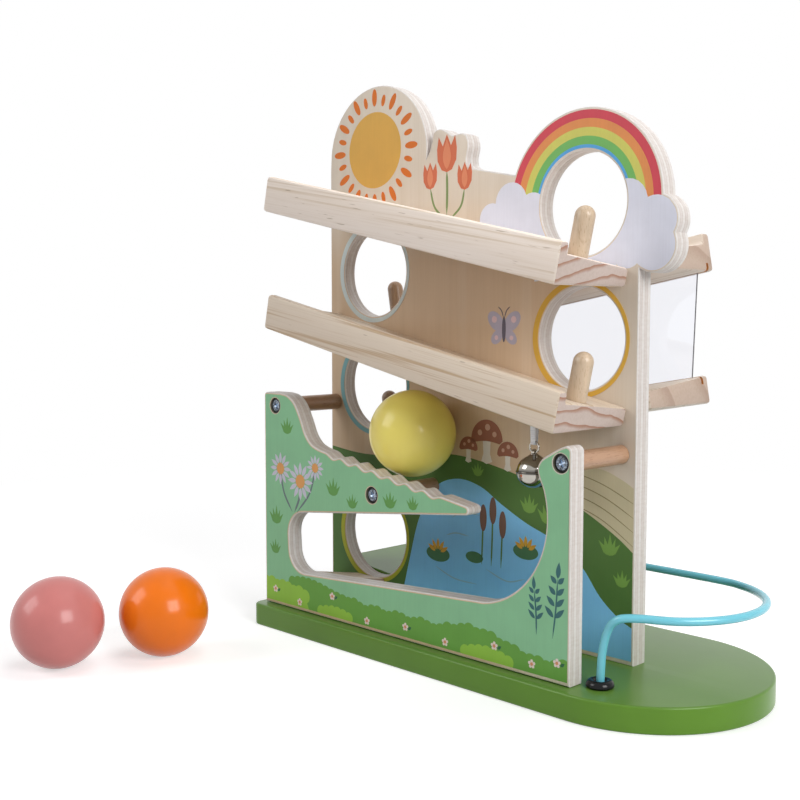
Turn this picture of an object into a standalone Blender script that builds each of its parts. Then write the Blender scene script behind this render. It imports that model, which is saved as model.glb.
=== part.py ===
"""Wooden marble run for small children, with three balls.

A plywood panel with five ball holes stands on a painted base. Balls roll down sloping tracks on both faces
of the panel, over a rippled ramp in a lower front panel, past a jingle bell and out along the back of the
base, where a bent wire keeps them in. Metres, +Z up, +X towards the round end of the base, +Y to the back,
origin at the centre of the base's underside.
"""
import math

import bmesh
import bpy
from mathutils import Matrix, Vector

# Driving dimensions
BASE_LENGTH = 0.279
BASE_WIDTH = 0.119
BASE_THICK = 0.012
BASE_CORNER = 0.006
BASE_EDGE = 0.0024

MAIN_LEFT = -0.130
MAIN_WIDTH = 0.2101
MAIN_FACE = -0.00685
MAIN_PLY = 0.010
SUN_RADIUS = 0.0386
SUN_HEIGHT = 0.249
RAINBOW_RADIUS = 0.044
RAINBOW_HEIGHT = 0.2142
HOLE_RADIUS = 0.0245
LEFT_HOLES_ALONG = 0.0367
RIGHT_HOLES_ALONG = 0.178
LEFT_HOLE_HEIGHTS = (0.1857, 0.1224, 0.0381)
RIGHT_HOLE_HEIGHTS = (0.2138, 0.1506)

FRONT_LEFT = -0.1352
FRONT_WIDTH = 0.2127
FRONT_FACE = -0.05255
FRONT_PLY = 0.0095
FRONT_HEIGHT = 0.119
RIPPLE_PITCH = 0.012
RIPPLE_DEPTH = 0.0019
RIPPLES = 7
RAMP_FALL = 0.1682
PLY_EDGE = 0.0009
LEAD_IN = 0.003

TRACK_LENGTH = 0.2035
TRACK_WIDTH = 0.053
LIP_HEIGHT = 0.0188
LIP_WIDTH = 0.0056
FLOOR_AT_LIP = 0.0136
FLOOR_AT_PANEL = 0.0087
TRACK_EDGE = 0.0016
FRONT_SLOPE = math.radians(12.5)
BACK_SLOPE = math.radians(10.2)

PEG_RADIUS = 0.0046
PEG_STANDS = 0.0223
PEG_SUNK = 0.007
PEG_FROM_PANEL = {"front_upper": 0.030, "front_lower": 0.030, "back_upper": 0.029, "back_lower": 0.024}
PEG_FROM_END = 0.0078

BALL_RADIUS = 0.0225
DOWEL_RADIUS = 0.0045
WIRE_RADIUS = 0.00185
WIRE_HEIGHT = 0.033
BELL_RADIUS = 0.0077
BELL_WALL = 0.0007
RIBBON_LENGTH = 0.0149
PANE_THICK = 0.0012
SEAT = 0.0003

# Places worked out from the dimensions above
BASE_TOP = BASE_THICK
BASE_LEFT = -BASE_LENGTH / 2
BASE_ROUND = BASE_WIDTH / 2
MAIN_BACK = MAIN_FACE + MAIN_PLY
FRONT_BACK = FRONT_FACE + FRONT_PLY
PANEL_FOOT = BASE_TOP + SEAT

for old in list(bpy.data.objects):
    bpy.data.objects.remove(old, do_unlink=True)

parts = bpy.data.collections.new("wooden_marble_run")
cutters = bpy.data.collections.new("cutters")
bpy.context.scene.collection.children.link(parts)
bpy.context.scene.collection.children.link(cutters)


# Helpers

def material(name, colour, roughness, metallic=0.0):
    """A plain Principled material of the piece's colour."""
    made = bpy.data.materials.new(name)
    made.use_nodes = True
    shader = made.node_tree.nodes["Principled BSDF"]
    shader.inputs["Base Color"].default_value = (*colour, 1.0)
    shader.inputs["Roughness"].default_value = roughness
    shader.inputs["Metallic"].default_value = metallic
    return made


def add_part(name, mesh, finish, matrix=None):
    """Put a mesh in the scene as a named piece, smooth on its round faces."""
    part = bpy.data.objects.new(name, mesh)
    parts.objects.link(part)
    part.matrix_world = matrix or Matrix()
    mesh.materials.clear()
    mesh.materials.append(finish)
    mesh.shade_smooth()
    mesh.set_sharp_from_angle(angle=math.radians(35))
    return part


def frame(origin, x_axis, y_axis):
    """A placing matrix from an origin and two square axes."""
    x_axis = Vector(x_axis).normalized()
    y_axis = Vector(y_axis).normalized()
    z_axis = x_axis.cross(y_axis)
    matrix = Matrix((x_axis, y_axis, z_axis)).transposed().to_4x4()
    matrix.translation = Vector(origin)
    return matrix


def aim(origin, direction):
    """A placing matrix whose local +Z points along direction."""
    matrix = Vector(direction).to_track_quat("Z", "Y").to_matrix().to_4x4()
    matrix.translation = Vector(origin)
    return matrix


def arc(centre, radius, start, end, steps):
    """Points on a circle from one angle to another, in degrees."""
    angles = [math.radians(start + (end - start) * i / steps) for i in range(steps + 1)]
    return [(centre[0] + radius * math.cos(a), centre[1] + radius * math.sin(a)) for a in angles]


def smooth_route(knots, steps):
    """Points of a Catmull-Rom curve through the knots."""
    knots = [Vector(k) for k in knots]
    padded = [2 * knots[0] - knots[1], *knots, 2 * knots[-1] - knots[-2]]
    points = []
    for a, b, c, d in zip(padded, padded[1:], padded[2:], padded[3:]):
        for i in range(steps):
            t = i / steps
            points.append(0.5 * (2 * b + (c - a) * t + (2 * a - 5 * b + 4 * c - d) * t ** 2
                                 + (3 * b - a - 3 * c + d) * t ** 3))
    return points + [knots[-1]]


def mesh_of(source):
    """The evaluated mesh of an object with its seams welded; the object is removed."""
    graph = bpy.context.evaluated_depsgraph_get()
    mesh = bpy.data.meshes.new_from_object(source.evaluated_get(graph))
    data = source.data
    bpy.data.objects.remove(source, do_unlink=True)
    if isinstance(data, bpy.types.Curve):
        bpy.data.curves.remove(data)
    shape = bmesh.new()
    shape.from_mesh(mesh)
    bmesh.ops.remove_doubles(shape, verts=shape.verts, dist=1e-6)
    bmesh.ops.recalc_face_normals(shape, faces=shape.faces)
    bmesh.ops.dissolve_limit(shape, angle_limit=0.001, verts=shape.verts, edges=shape.edges)
    shape.to_mesh(mesh)
    shape.free()
    return mesh


def plate_mesh(outlines, thickness):
    """A flat plate in local XY from closed outlines; inner outlines are holes."""
    curve = bpy.data.curves.new("outline", "CURVE")
    curve.dimensions = "2D"
    curve.fill_mode = "BOTH"
    curve.extrude = thickness / 2
    for outline in outlines:
        spline = curve.splines.new("POLY")
        spline.points.add(len(outline) - 1)
        for point, (x, y) in zip(spline.points, outline):
            point.co = (x, y, 0.0, 1.0)
        spline.use_cyclic_u = True
    source = bpy.data.objects.new("outline", curve)
    parts.objects.link(source)
    bpy.context.view_layer.update()
    return mesh_of(source)


def turned_mesh(profile, steps, closed=False):
    """A turned shape from (radius, height) points that run down the outer side."""
    mesh = bpy.data.meshes.new("profile")
    edges = [(i, i + 1) for i in range(len(profile) - 1)]
    if closed:
        edges.append((len(profile) - 1, 0))
    mesh.from_pydata([(r, 0.0, h) for r, h in profile], edges, [])
    source = bpy.data.objects.new("profile", mesh)
    parts.objects.link(source)
    screw = source.modifiers.new("turn", "SCREW")
    screw.steps = steps
    screw.render_steps = steps
    screw.use_merge_vertices = True
    screw.merge_threshold = 0.00001
    bpy.context.view_layer.update()
    return mesh_of(source)


def rod_mesh(radius, length, sides=24):
    """A round rod along local +Z from the origin."""
    mesh = bpy.data.meshes.new("rod")
    shape = bmesh.new()
    bmesh.ops.create_cone(shape, cap_ends=True, segments=sides, radius1=radius, radius2=radius,
                          depth=length, matrix=Matrix.Translation((0.0, 0.0, length / 2)))
    shape.to_mesh(mesh)
    shape.free()
    return mesh


def sphere_mesh(radius, segments, rings):
    """A ball about the origin."""
    mesh = bpy.data.meshes.new("ball")
    shape = bmesh.new()
    bmesh.ops.create_uvsphere(shape, u_segments=segments, v_segments=rings, radius=radius)
    shape.to_mesh(mesh)
    shape.free()
    return mesh


def ring_mesh(major, minor, around, section):
    """A round wire ring in the local XY plane."""
    circle = arc((major, 0.0), minor, 0.0, -360.0, section)[:-1]
    return turned_mesh(circle, around, closed=True)


def box_mesh(size):
    """A box about the origin."""
    mesh = bpy.data.meshes.new("box")
    shape = bmesh.new()
    bmesh.ops.create_cube(shape, size=1.0, matrix=Matrix.Diagonal((*size, 1.0)))
    shape.to_mesh(mesh)
    shape.free()
    return mesh


def soften(part, width, segments=2):
    """Round the sharp edges of a piece."""
    bevel = part.modifiers.new("soft edges", "BEVEL")
    bevel.width = width
    bevel.segments = segments
    bevel.limit_method = "ANGLE"
    bevel.angle_limit = math.radians(50)
    bevel.use_clamp_overlap = False
    bevel.harden_normals = True


def combine(part, mesh, matrix, operation="DIFFERENCE"):
    """Cut a shape out of a piece, or join it on."""
    tool = bpy.data.objects.new(part.name + "_cutter", mesh)
    cutters.objects.link(tool)
    tool.matrix_world = matrix
    tool.hide_render = True
    tool.display_type = "WIRE"
    boolean = part.modifiers.new("cut", "BOOLEAN")
    boolean.operation = operation
    boolean.object = tool


def drill(part, start, direction, radius, depth, sides=24):
    """Cut a round hole from a point on the surface inwards."""
    start = Vector(start)
    direction = Vector(direction).normalized()
    over = 0.004
    combine(part, rod_mesh(radius, depth + over, sides), aim(start - over * direction, direction))


def rod(name, start, direction, radius, length, finish, chamfer=0.0, sides=24):
    """A round rod from a start point along a direction."""
    part = add_part(name, rod_mesh(radius, length, sides), finish, aim(start, direction))
    if chamfer:
        soften(part, chamfer, 1)
    return part


# Finishes
green_paint = material("green paint", (0.16, 0.31, 0.045), 0.38)
plywood = material("plywood", (0.72, 0.56, 0.38), 0.55)
printed_green = material("printed plywood", (0.27, 0.5, 0.28), 0.5)
pine = material("pine", (0.74, 0.6, 0.42), 0.5)
beech = material("beech", (0.66, 0.45, 0.28), 0.5)
black_steel = material("black steel", (0.02, 0.02, 0.022), 0.35, 0.6)
black_plastic = material("black plastic", (0.015, 0.015, 0.017), 0.25)
blue_wire = material("blue coated wire", (0.1, 0.5, 0.58), 0.35)
nickel = material("nickel", (0.72, 0.7, 0.67), 0.2, 1.0)
clear_acrylic = material("clear acrylic", (0.93, 0.96, 0.97), 0.05)
white_ribbon = material("white ribbon", (0.85, 0.85, 0.86), 0.6)
yellow_paint = material("yellow paint", (0.72, 0.6, 0.12), 0.3)
pink_paint = material("pink paint", (0.7, 0.2, 0.18), 0.3)
orange_paint = material("orange paint", (0.85, 0.24, 0.01), 0.3)

# Base board: straight sides, a half-round right end, two small corner rounds
round_centre = (BASE_LENGTH / 2 - BASE_ROUND, 0.0)
corner_x = BASE_LEFT + BASE_CORNER
corner_y = BASE_WIDTH / 2 - BASE_CORNER
base_outline = (arc(round_centre, BASE_ROUND, -90, 90, 36)
                + arc((corner_x, corner_y), BASE_CORNER, 90, 180, 5)
                + arc((corner_x, -corner_y), BASE_CORNER, 180, 270, 5))
base_board = add_part("base_board", plate_mesh([base_outline], BASE_THICK), green_paint,
                      Matrix.Translation((0.0, 0.0, BASE_THICK / 2)))
soften(base_board, BASE_EDGE)

# Back ramp: a low wedge on the base that starts a ball rolling towards the round end
RAMP_LEFT = -0.1326
RAMP_LENGTH = 0.153
RAMP_HIGH = 0.0176
RAMP_LOW = 0.0015
ramp_y = (MAIN_BACK + SEAT + BASE_WIDTH / 2 - BASE_EDGE) / 2
ramp_depth = BASE_WIDTH / 2 - BASE_EDGE - MAIN_BACK - SEAT
ramp_outline = [(0.0, 0.0), (RAMP_LENGTH, 0.0), (RAMP_LENGTH, RAMP_LOW), (0.0, RAMP_HIGH)]
back_ramp = add_part("back_ramp", plate_mesh([ramp_outline], ramp_depth), green_paint,
                     frame((RAMP_LEFT, ramp_y, PANEL_FOOT), (1, 0, 0), (0, 0, 1)))
soften(back_ramp, 0.0006, 1)


# Main panel: its outline goes round a sun dome, a double bump, a rainbow dome and two cloud bumps
def circle_meet(first, second):
    """The right-hand point where two circles, each (centre, radius), cross."""
    (x0, y0), r0 = first
    (x1, y1), r1 = second
    gap = math.hypot(x1 - x0, y1 - y0)
    along = (r0 ** 2 - r1 ** 2 + gap ** 2) / (2 * gap)
    off = math.sqrt(r0 ** 2 - along ** 2)
    ux, uy = (x1 - x0) / gap, (y1 - y0) / gap
    crossings = [(x0 + along * ux - s * off * uy, y0 + along * uy + s * off * ux) for s in (-1, 1)]
    return max(crossings)


def arc_between(circle, start, end, steps):
    """Clockwise points on a circle between two points on it."""
    (x, y), radius = circle
    first = math.degrees(math.atan2(start[1] - y, start[0] - x))
    last = math.degrees(math.atan2(end[1] - y, end[0] - x))
    if last > first:
        last -= 360.0
    return arc((x, y), radius, first, last, steps)


sun = ((SUN_RADIUS, SUN_HEIGHT), SUN_RADIUS)
rainbow = ((RIGHT_HOLES_ALONG, RAINBOW_HEIGHT), RAINBOW_RADIUS)
upper_cloud = ((0.2178, 0.204), 0.012)
lower_cloud = ((0.2168, 0.1929), 0.0124)
double_bump = [(0.0785, 0.2475), (0.0806, 0.253), (0.0817, 0.2575), (0.0865, 0.2588), (0.0915, 0.2568),
               (0.0955, 0.2544), (0.1003, 0.255), (0.1048, 0.2538), (0.1064, 0.248), (0.1052, 0.243),
               (0.1056, 0.2385), (0.109, 0.2364)]
dip_end = (0.1372, 0.2304)
cloud_start = circle_meet(rainbow, upper_cloud)
cloud_notch = circle_meet(upper_cloud, lower_cloud)
cloud_drop = math.sqrt(lower_cloud[1] ** 2 - (lower_cloud[0][0] - MAIN_WIDTH) ** 2)
cloud_end = (MAIN_WIDTH, lower_cloud[0][1] - cloud_drop)
main_outline = ([(0.0, 0.0)] + arc(*sun, 180, -5, 30)
                + [tuple(p)[:2] for p in smooth_route([(*p, 0.0) for p in double_bump], 2)]
                + arc_between(rainbow, dip_end, cloud_start, 26)
                + arc_between(upper_cloud, cloud_start, cloud_notch, 8)[1:]
                + arc_between(lower_cloud, cloud_notch, cloud_end, 10)[1:] + [(MAIN_WIDTH, 0.0)])
hole_centres = [(LEFT_HOLES_ALONG, h) for h in LEFT_HOLE_HEIGHTS]
hole_centres += [(RIGHT_HOLES_ALONG, h) for h in RIGHT_HOLE_HEIGHTS]
ball_holes = [arc(centre, HOLE_RADIUS, 0, 360, 36)[:-1] for centre in hole_centres]
main_mid = (MAIN_LEFT, (MAIN_FACE + MAIN_BACK) / 2, PANEL_FOOT)
main_panel = add_part("main_panel", plate_mesh([main_outline, *ball_holes], MAIN_PLY), plywood,
                      frame(main_mid, (1, 0, 0), (0, 0, 1)))
soften(main_panel, PLY_EDGE, 1)
for along, height in hole_centres[:len(LEFT_HOLE_HEIGHTS)]:
    lead_in = turned_mesh([(0.0, LEAD_IN + 0.001), (HOLE_RADIUS + LEAD_IN + 0.001, LEAD_IN + 0.001),
                           (HOLE_RADIUS - 0.001, -0.001), (0.0, -0.001)], 36)
    lead_in_at = (MAIN_LEFT + along, MAIN_BACK - LEAD_IN, PANEL_FOOT + height)
    combine(main_panel, lead_in, aim(lead_in_at, (0, 1, 0)))

# Front panel: rippled ramp and tongue above, lower rail and round catcher below, beak at the right
RAMP_TOP = (0.040, 0.0913)
RIPPLE_START = 0.052
TIP_CENTRE = (0.1513, 0.0702)
TIP_RADIUS = 0.0023
SLOT_TOP = ((0.0338, 0.0415), 0.013)
SLOT_BOTTOM = ((0.0338, 0.0336), 0.0125)
CATCHER = ((0.1556, 0.072), 0.0437)


def ramp_height(along):
    """Height of the straight line that touches the ripples' crests."""
    return RAMP_TOP[1] - RAMP_FALL * (along - RAMP_TOP[0])


shoulder = [(0.014, FRONT_HEIGHT), (0.0205, 0.1178), (0.0265, 0.1135), (0.0315, 0.1055), (0.0355, 0.0975),
            (0.0405, 0.0925), (0.047, ramp_height(0.047))]
ripples = []
for step in range(RIPPLES * 8 + 1):
    along = RIPPLE_START + step * RIPPLE_PITCH / 8
    dip = RIPPLE_DEPTH * 0.5 * (1 - math.cos(2 * math.pi * step / 8))
    ripples.append((along, ramp_height(along) - dip))
beak = [(0.197, 0.0858), (0.1948, 0.0905), (0.194, 0.0945), (0.1962, 0.0985), (0.201, 0.1015),
        (0.206, 0.1042), (0.2095, 0.1055)]
front_outline = ([(0.0, 0.0)] + arc((0.002, FRONT_HEIGHT - 0.002), 0.002, 180, 90, 4)
                 + [tuple(p)[:2] for p in smooth_route([(*p, 0.0) for p in shoulder], 3)]
                 + ripples + arc(TIP_CENTRE, TIP_RADIUS, 80, -84, 8)
                 + arc(*SLOT_TOP, 96, 180, 9) + arc(*SLOT_BOTTOM, 182, 274, 9) + arc(*CATCHER, -80, 16, 22)
                 + [tuple(p)[:2] for p in smooth_route([(*p, 0.0) for p in beak], 2)]
                 + arc((FRONT_WIDTH - 0.003, 0.1025), 0.003, 75, 0, 4) + [(FRONT_WIDTH, 0.0)])
front_mid = (FRONT_LEFT, (FRONT_FACE + FRONT_BACK) / 2, PANEL_FOOT)
front_panel = add_part("front_panel", plate_mesh([front_outline], FRONT_PLY), printed_green,
                       frame(front_mid, (1, 0, 0), (0, 0, 1)))
soften(front_panel, PLY_EDGE, 1)

# Tracks: a planed section whose floor leans towards the panel, with a lip along the outer side
FLOOR_WIDTH = TRACK_WIDTH - LIP_WIDTH
TRACK_SECTION = [(0.0, 0.0), (TRACK_WIDTH, 0.0), (TRACK_WIDTH, LIP_HEIGHT), (FLOOR_WIDTH, LIP_HEIGHT),
                 (FLOOR_WIDTH, FLOOR_AT_LIP), (0.0, FLOOR_AT_PANEL)]
LOW_SECTION = [(0.0, 0.0), (TRACK_WIDTH, 0.0), (TRACK_WIDTH, FLOOR_AT_LIP + 0.0005), (0.0, FLOOR_AT_PANEL)]


def track_frame(mid_x, mid_z, slope, outward):
    """Local +X points away from the panel, +Y up square to the track, +Z uphill."""
    face = MAIN_FACE - SEAT if outward < 0 else MAIN_BACK + SEAT
    upward = (-outward * math.sin(slope), 0, math.cos(slope))
    return frame((mid_x, face, BASE_TOP + mid_z), (0, outward, 0), upward)


track_frames = {"front_upper": track_frame(-0.0263, 0.1965, FRONT_SLOPE, -1),
                "front_lower": track_frame(-0.0263, 0.1330, FRONT_SLOPE, -1),
                "back_upper": track_frame(-0.0192, 0.1654, BACK_SLOPE, 1),
                "back_lower": track_frame(-0.0192, 0.1008, BACK_SLOPE, 1)}
tracks = {}
for place, matrix in track_frames.items():
    section = LOW_SECTION if place == "back_lower" else TRACK_SECTION
    tracks[place] = add_part(place + "_track", plate_mesh([section], TRACK_LENGTH), pine, matrix)
    soften(tracks[place], TRACK_EDGE, 2)

# Stop pegs: round-topped dowels set square into each track near its low end
peg_profile = ([(0.0, PEG_SUNK + PEG_STANDS)]
               + arc((0.0, PEG_SUNK + PEG_STANDS - PEG_RADIUS), PEG_RADIUS, 72, 0, 4)
               + [(PEG_RADIUS, 0.0005), (PEG_RADIUS - 0.0005, 0.0), (0.0, 0.0)])
floor_rise = (FLOOR_AT_LIP - FLOOR_AT_PANEL) / FLOOR_WIDTH
for place, matrix in track_frames.items():
    away = PEG_FROM_PANEL[place]
    along = -TRACK_LENGTH / 2 + PEG_FROM_END
    up = matrix.to_3x3() @ Vector((0, 1, 0))
    floor_point = matrix @ Vector((away, FLOOR_AT_PANEL + floor_rise * away, along))
    drill(tracks[place], floor_point, -up, PEG_RADIUS + SEAT, PEG_SUNK + SEAT)
    add_part("stop_peg_" + place, turned_mesh(peg_profile, 18), beech, aim(floor_point - PEG_SUNK * up, up))

# Track pins: hidden dowel pins, two to a track, half in the track's edge and half in the panel
PIN_RADIUS = 0.002
PIN_LENGTH = 0.019
PIN_IN_PANEL = 0.007
PIN_ALONG = {"front": (-0.048, 0.030), "back": (-0.030, 0.048)}
for place, matrix in track_frames.items():
    outward = matrix.to_3x3() @ Vector((1, 0, 0))
    for number, along in enumerate(PIN_ALONG[place.split("_")[0]], 1):
        edge_point = matrix @ Vector((0.0, FLOOR_AT_PANEL / 2, along))
        drill(tracks[place], edge_point, outward, PIN_RADIUS + SEAT, PIN_LENGTH - PIN_IN_PANEL + SEAT, 12)
        drill(main_panel, edge_point, -outward, PIN_RADIUS + SEAT, PIN_IN_PANEL + 2 * SEAT, 12)
        rod("track_pin_%s_%d" % (place, number), edge_point - PIN_IN_PANEL * outward, outward, PIN_RADIUS,
            PIN_LENGTH, beech, sides=12)

# Window pane: stands in saw cuts in the two back tracks and is the outer wall of the lower one
PANE_FROM_PANEL = 0.0474
PANE_SUNK = 0.0035
SAW_CUT = PANE_THICK + 2 * SEAT
PANE_LEFT = -0.1155
PANE_RIGHT = 0.0743
pane_y = MAIN_BACK + SEAT + PANE_FROM_PANEL
saw_depth = PANE_SUNK + SEAT
pane_floor = FLOOR_AT_PANEL + (FLOOR_AT_LIP + 0.0005 - FLOOR_AT_PANEL) * PANE_FROM_PANEL / TRACK_WIDTH
blade = box_mesh((SAW_CUT, 2 * saw_depth, TRACK_LENGTH + 0.01))
combine(tracks["back_upper"], blade,
        track_frames["back_upper"] @ Matrix.Translation((PANE_FROM_PANEL, 0.0, 0.0)))
combine(tracks["back_lower"], blade,
        track_frames["back_lower"] @ Matrix.Translation((PANE_FROM_PANEL, pane_floor, 0.0)))


def pane_edge(place, x, offset):
    """Height on a line along a back track, offset square to its underside."""
    start = track_frames[place].translation
    return start.z + (x - start.x) * math.tan(BACK_SLOPE) + offset / math.cos(BACK_SLOPE)


pane_foot = pane_floor - PANE_SUNK
pane_outline = [(x, pane_edge(place, x, offset)) for place, offset, x in (
    ("back_lower", pane_foot, PANE_LEFT), ("back_lower", pane_foot, PANE_RIGHT - 0.001),
    ("back_upper", PANE_SUNK, PANE_RIGHT + 0.001), ("back_upper", PANE_SUNK, PANE_LEFT))]
add_part("window_pane", plate_mesh([pane_outline], PANE_THICK), clear_acrylic,
         frame((0.0, pane_y, 0.0), (1, 0, 0), (0, 0, 1)))

# Spacer dowels and their screws: three dowels hold the panels apart, with screw heads sunk in the front one
SCREW_SINK = 0.0024
SCREW_SINK_RADIUS = 0.0042
SCREW_HEAD_RADIUS = 0.0036
SCREW_HEAD_HEIGHT = 0.0016
SCREW_RADIUS = 0.0016
SCREW_LENGTH = 0.022
SPACERS = {"left": (-0.1256, 0.112), "middle": (-0.0476, 0.0706), "right": (0.0717, 0.098)}
screw_profile = ([(0.0, SCREW_HEAD_HEIGHT)] + arc((0.0, -0.0044), 0.006, 72, 54, 3)
                 + [(SCREW_HEAD_RADIUS, 0.0), (SCREW_RADIUS, 0.0), (SCREW_RADIUS, -SCREW_LENGTH + 0.003),
                    (0.0, -SCREW_LENGTH)])
for place, (x, height) in SPACERS.items():
    z = BASE_TOP + height
    spacer = rod("spacer_dowel_" + place, (x, FRONT_BACK + SEAT, z), (0, 1, 0), DOWEL_RADIUS,
                 MAIN_FACE - FRONT_BACK - 2 * SEAT, beech)
    drill(spacer, (x, FRONT_BACK, z), (0, 1, 0), SCREW_RADIUS + SEAT,
          SCREW_LENGTH - FRONT_PLY + SCREW_SINK + SEAT, 12)
    drill(front_panel, (x, FRONT_FACE, z), (0, 1, 0), SCREW_RADIUS + SEAT, FRONT_PLY + 0.002, 12)
    drill(front_panel, (x, FRONT_FACE, z), (0, 1, 0), SCREW_SINK_RADIUS, SCREW_SINK, 16)
    add_part("spacer_screw_" + place, turned_mesh(screw_profile, 16), black_steel,
             aim((x, FRONT_FACE + SCREW_SINK - SEAT, z), (0, -1, 0)))

# Guide wedge: a block between the panels whose top sheds the ball through the lowest hole
WEDGE_LEFT = -0.1298
WEDGE_LENGTH = 0.044
WEDGE_FRONT_HEIGHT = 0.020
WEDGE_BACK_HEIGHT = 0.0132
WEDGE_LEFT_DROP = 0.0045
wedge_section = [(FRONT_BACK + SEAT, 0.0), (MAIN_FACE - SEAT, 0.0), (MAIN_FACE - SEAT, WEDGE_BACK_HEIGHT),
                 (FRONT_BACK + SEAT, WEDGE_FRONT_HEIGHT)]
guide_wedge = add_part("guide_wedge", plate_mesh([wedge_section], WEDGE_LENGTH), pine,
                       frame((WEDGE_LEFT + WEDGE_LENGTH / 2, 0.0, PANEL_FOOT), (0, 1, 0), (0, 0, 1)))
wedge_lean = math.atan2(WEDGE_FRONT_HEIGHT - WEDGE_BACK_HEIGHT, MAIN_FACE - FRONT_BACK)
wedge_fall = math.atan2(WEDGE_LEFT_DROP, WEDGE_LENGTH / 2)
slice_at = (WEDGE_LEFT + WEDGE_LENGTH / 2, MAIN_FACE, PANEL_FOOT + WEDGE_BACK_HEIGHT)
slice_frame = (Matrix.Translation(slice_at) @ Matrix.Rotation(-wedge_lean, 4, "X")
               @ Matrix.Rotation(-wedge_fall, 4, "Y"))
combine(guide_wedge, box_mesh((0.1, 0.1, 0.02)), slice_frame @ Matrix.Translation((-0.05, -0.02, 0.01)))

# Wire rail and its two grommets: a bent coated wire round the back and the round end
GROMMET_RADIUS = 0.0063
GROMMET_HEIGHT = 0.0030
WIRE_SUNK = 0.008
LOOP_CENTRE = (0.0883, 0.0047)
LOOP_REACH = 0.0452
wire_z = BASE_TOP + WIRE_HEIGHT
fence_y = LOOP_CENTRE[1] + LOOP_REACH
front_leg = [(0.0857, BASE_TOP - WIRE_SUNK), (0.0859, BASE_TOP + 0.004), (0.0868, BASE_TOP + 0.0165),
             (0.0896, BASE_TOP + 0.0262), (0.0945, BASE_TOP + 0.0315)]
back_leg = [(-0.0985, wire_z), (-0.1075, wire_z - 0.0018), (-0.1119, wire_z - 0.0072),
            (-0.1127, BASE_TOP + 0.018), (-0.1127, BASE_TOP - WIRE_SUNK)]
wire_route = [(x, -0.0412, z) for x, z in front_leg]
wire_route += [(x, y, wire_z) for x, y in arc(LOOP_CENTRE, LOOP_REACH, -72, 90, 8)]
wire_route += [(x, fence_y, wire_z) for x in (0.04, -0.03, -0.085)]
wire_route += [(x, fence_y, z) for x, z in back_leg]
wire_curve = bpy.data.curves.new("wire_rail", "CURVE")
wire_curve.dimensions = "3D"
wire_curve.bevel_depth = WIRE_RADIUS
wire_curve.bevel_resolution = 2
wire_curve.use_fill_caps = True
wire_points = smooth_route(wire_route, 3)
wire_spline = wire_curve.splines.new("POLY")
wire_spline.points.add(len(wire_points) - 1)
for spot, place in zip(wire_spline.points, wire_points):
    spot.co = (*place, 1.0)
wire_source = bpy.data.objects.new("wire_rail", wire_curve)
parts.objects.link(wire_source)
bpy.context.view_layer.update()
wire_rail = add_part("wire_rail", mesh_of(wire_source), blue_wire)

grommet_bore = WIRE_RADIUS + 2 * SEAT
grommet_profile = ([(grommet_bore, GROMMET_HEIGHT)]
                   + arc((GROMMET_RADIUS - 0.002, 0.0006), 0.002, 90, 0, 4)
                   + [(GROMMET_RADIUS, 0.0), (grommet_bore, 0.0)])
front_foot = Vector((*wire_route[0][:2], BASE_TOP))
back_foot_x, back_foot_y = wire_route[-1][:2]
ramp_angle = math.atan2(RAMP_HIGH - RAMP_LOW, RAMP_LENGTH)
ramp_at_foot = PANEL_FOOT + RAMP_HIGH - (back_foot_x - RAMP_LEFT) * math.tan(ramp_angle)
ramp_up = Vector((math.sin(ramp_angle), 0.0, math.cos(ramp_angle)))
back_foot = Vector((back_foot_x, back_foot_y, ramp_at_foot))
down = Vector((0, 0, -1))
drill(base_board, front_foot, down, grommet_bore, WIRE_SUNK + SEAT, 12)
drill(base_board, (back_foot_x, back_foot_y, BASE_TOP), down, grommet_bore, WIRE_SUNK + SEAT, 12)
drill(back_ramp, back_foot, down, grommet_bore, RAMP_HIGH + 0.002, 12)
add_part("grommet_front", turned_mesh(grommet_profile, 18, closed=True), black_plastic,
         aim(front_foot - SEAT * down, (0, 0, 1)))
add_part("grommet_back", turned_mesh(grommet_profile, 18, closed=True), black_plastic,
         aim(back_foot + SEAT * ramp_up, ramp_up))

# Base screws: countersunk from below, three into the main panel and two into the front panel
BASE_SCREW_HEAD = 0.0036
BASE_SCREW_RADIUS = 0.0017
BASE_SCREW_LENGTH = 0.030
BASE_SCREW_RECESS = 0.001
base_screw_profile = [(0.0, BASE_SCREW_LENGTH), (BASE_SCREW_RADIUS, BASE_SCREW_LENGTH - 0.003),
                      (BASE_SCREW_RADIUS, BASE_SCREW_HEAD), (BASE_SCREW_HEAD, 0.0007),
                      (BASE_SCREW_HEAD, 0.0), (0.0, 0.0)]
sink_profile = [(0.0, 0.02), (BASE_SCREW_RADIUS + SEAT, 0.02), (BASE_SCREW_RADIUS + SEAT, BASE_SCREW_HEAD),
                (BASE_SCREW_HEAD + SEAT, 0.0007), (BASE_SCREW_HEAD + SEAT, -0.004), (0.0, -0.004)]
main_mid_y = (MAIN_FACE + MAIN_BACK) / 2
front_mid_y = (FRONT_FACE + FRONT_BACK) / 2
base_screw_spots = {"main_1": (-0.115, main_mid_y, main_panel),
                    "main_2": (-0.025, main_mid_y, main_panel),
                    "main_3": (0.065, main_mid_y, main_panel),
                    "front_1": (-0.104, front_mid_y, front_panel),
                    "front_2": (0.053, front_mid_y, front_panel)}
for place, (x, y, panel) in base_screw_spots.items():
    combine(base_board, turned_mesh(sink_profile, 12), Matrix.Translation((x, y, BASE_SCREW_RECESS - SEAT)))
    drill(panel, (x, y, PANEL_FOOT), (0, 0, 1), BASE_SCREW_RADIUS + SEAT,
          BASE_SCREW_LENGTH + BASE_SCREW_RECESS - BASE_TOP + SEAT, 12)
    add_part("base_screw_" + place, turned_mesh(base_screw_profile, 12), black_steel,
             Matrix.Translation((x, y, BASE_SCREW_RECESS)))

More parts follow.
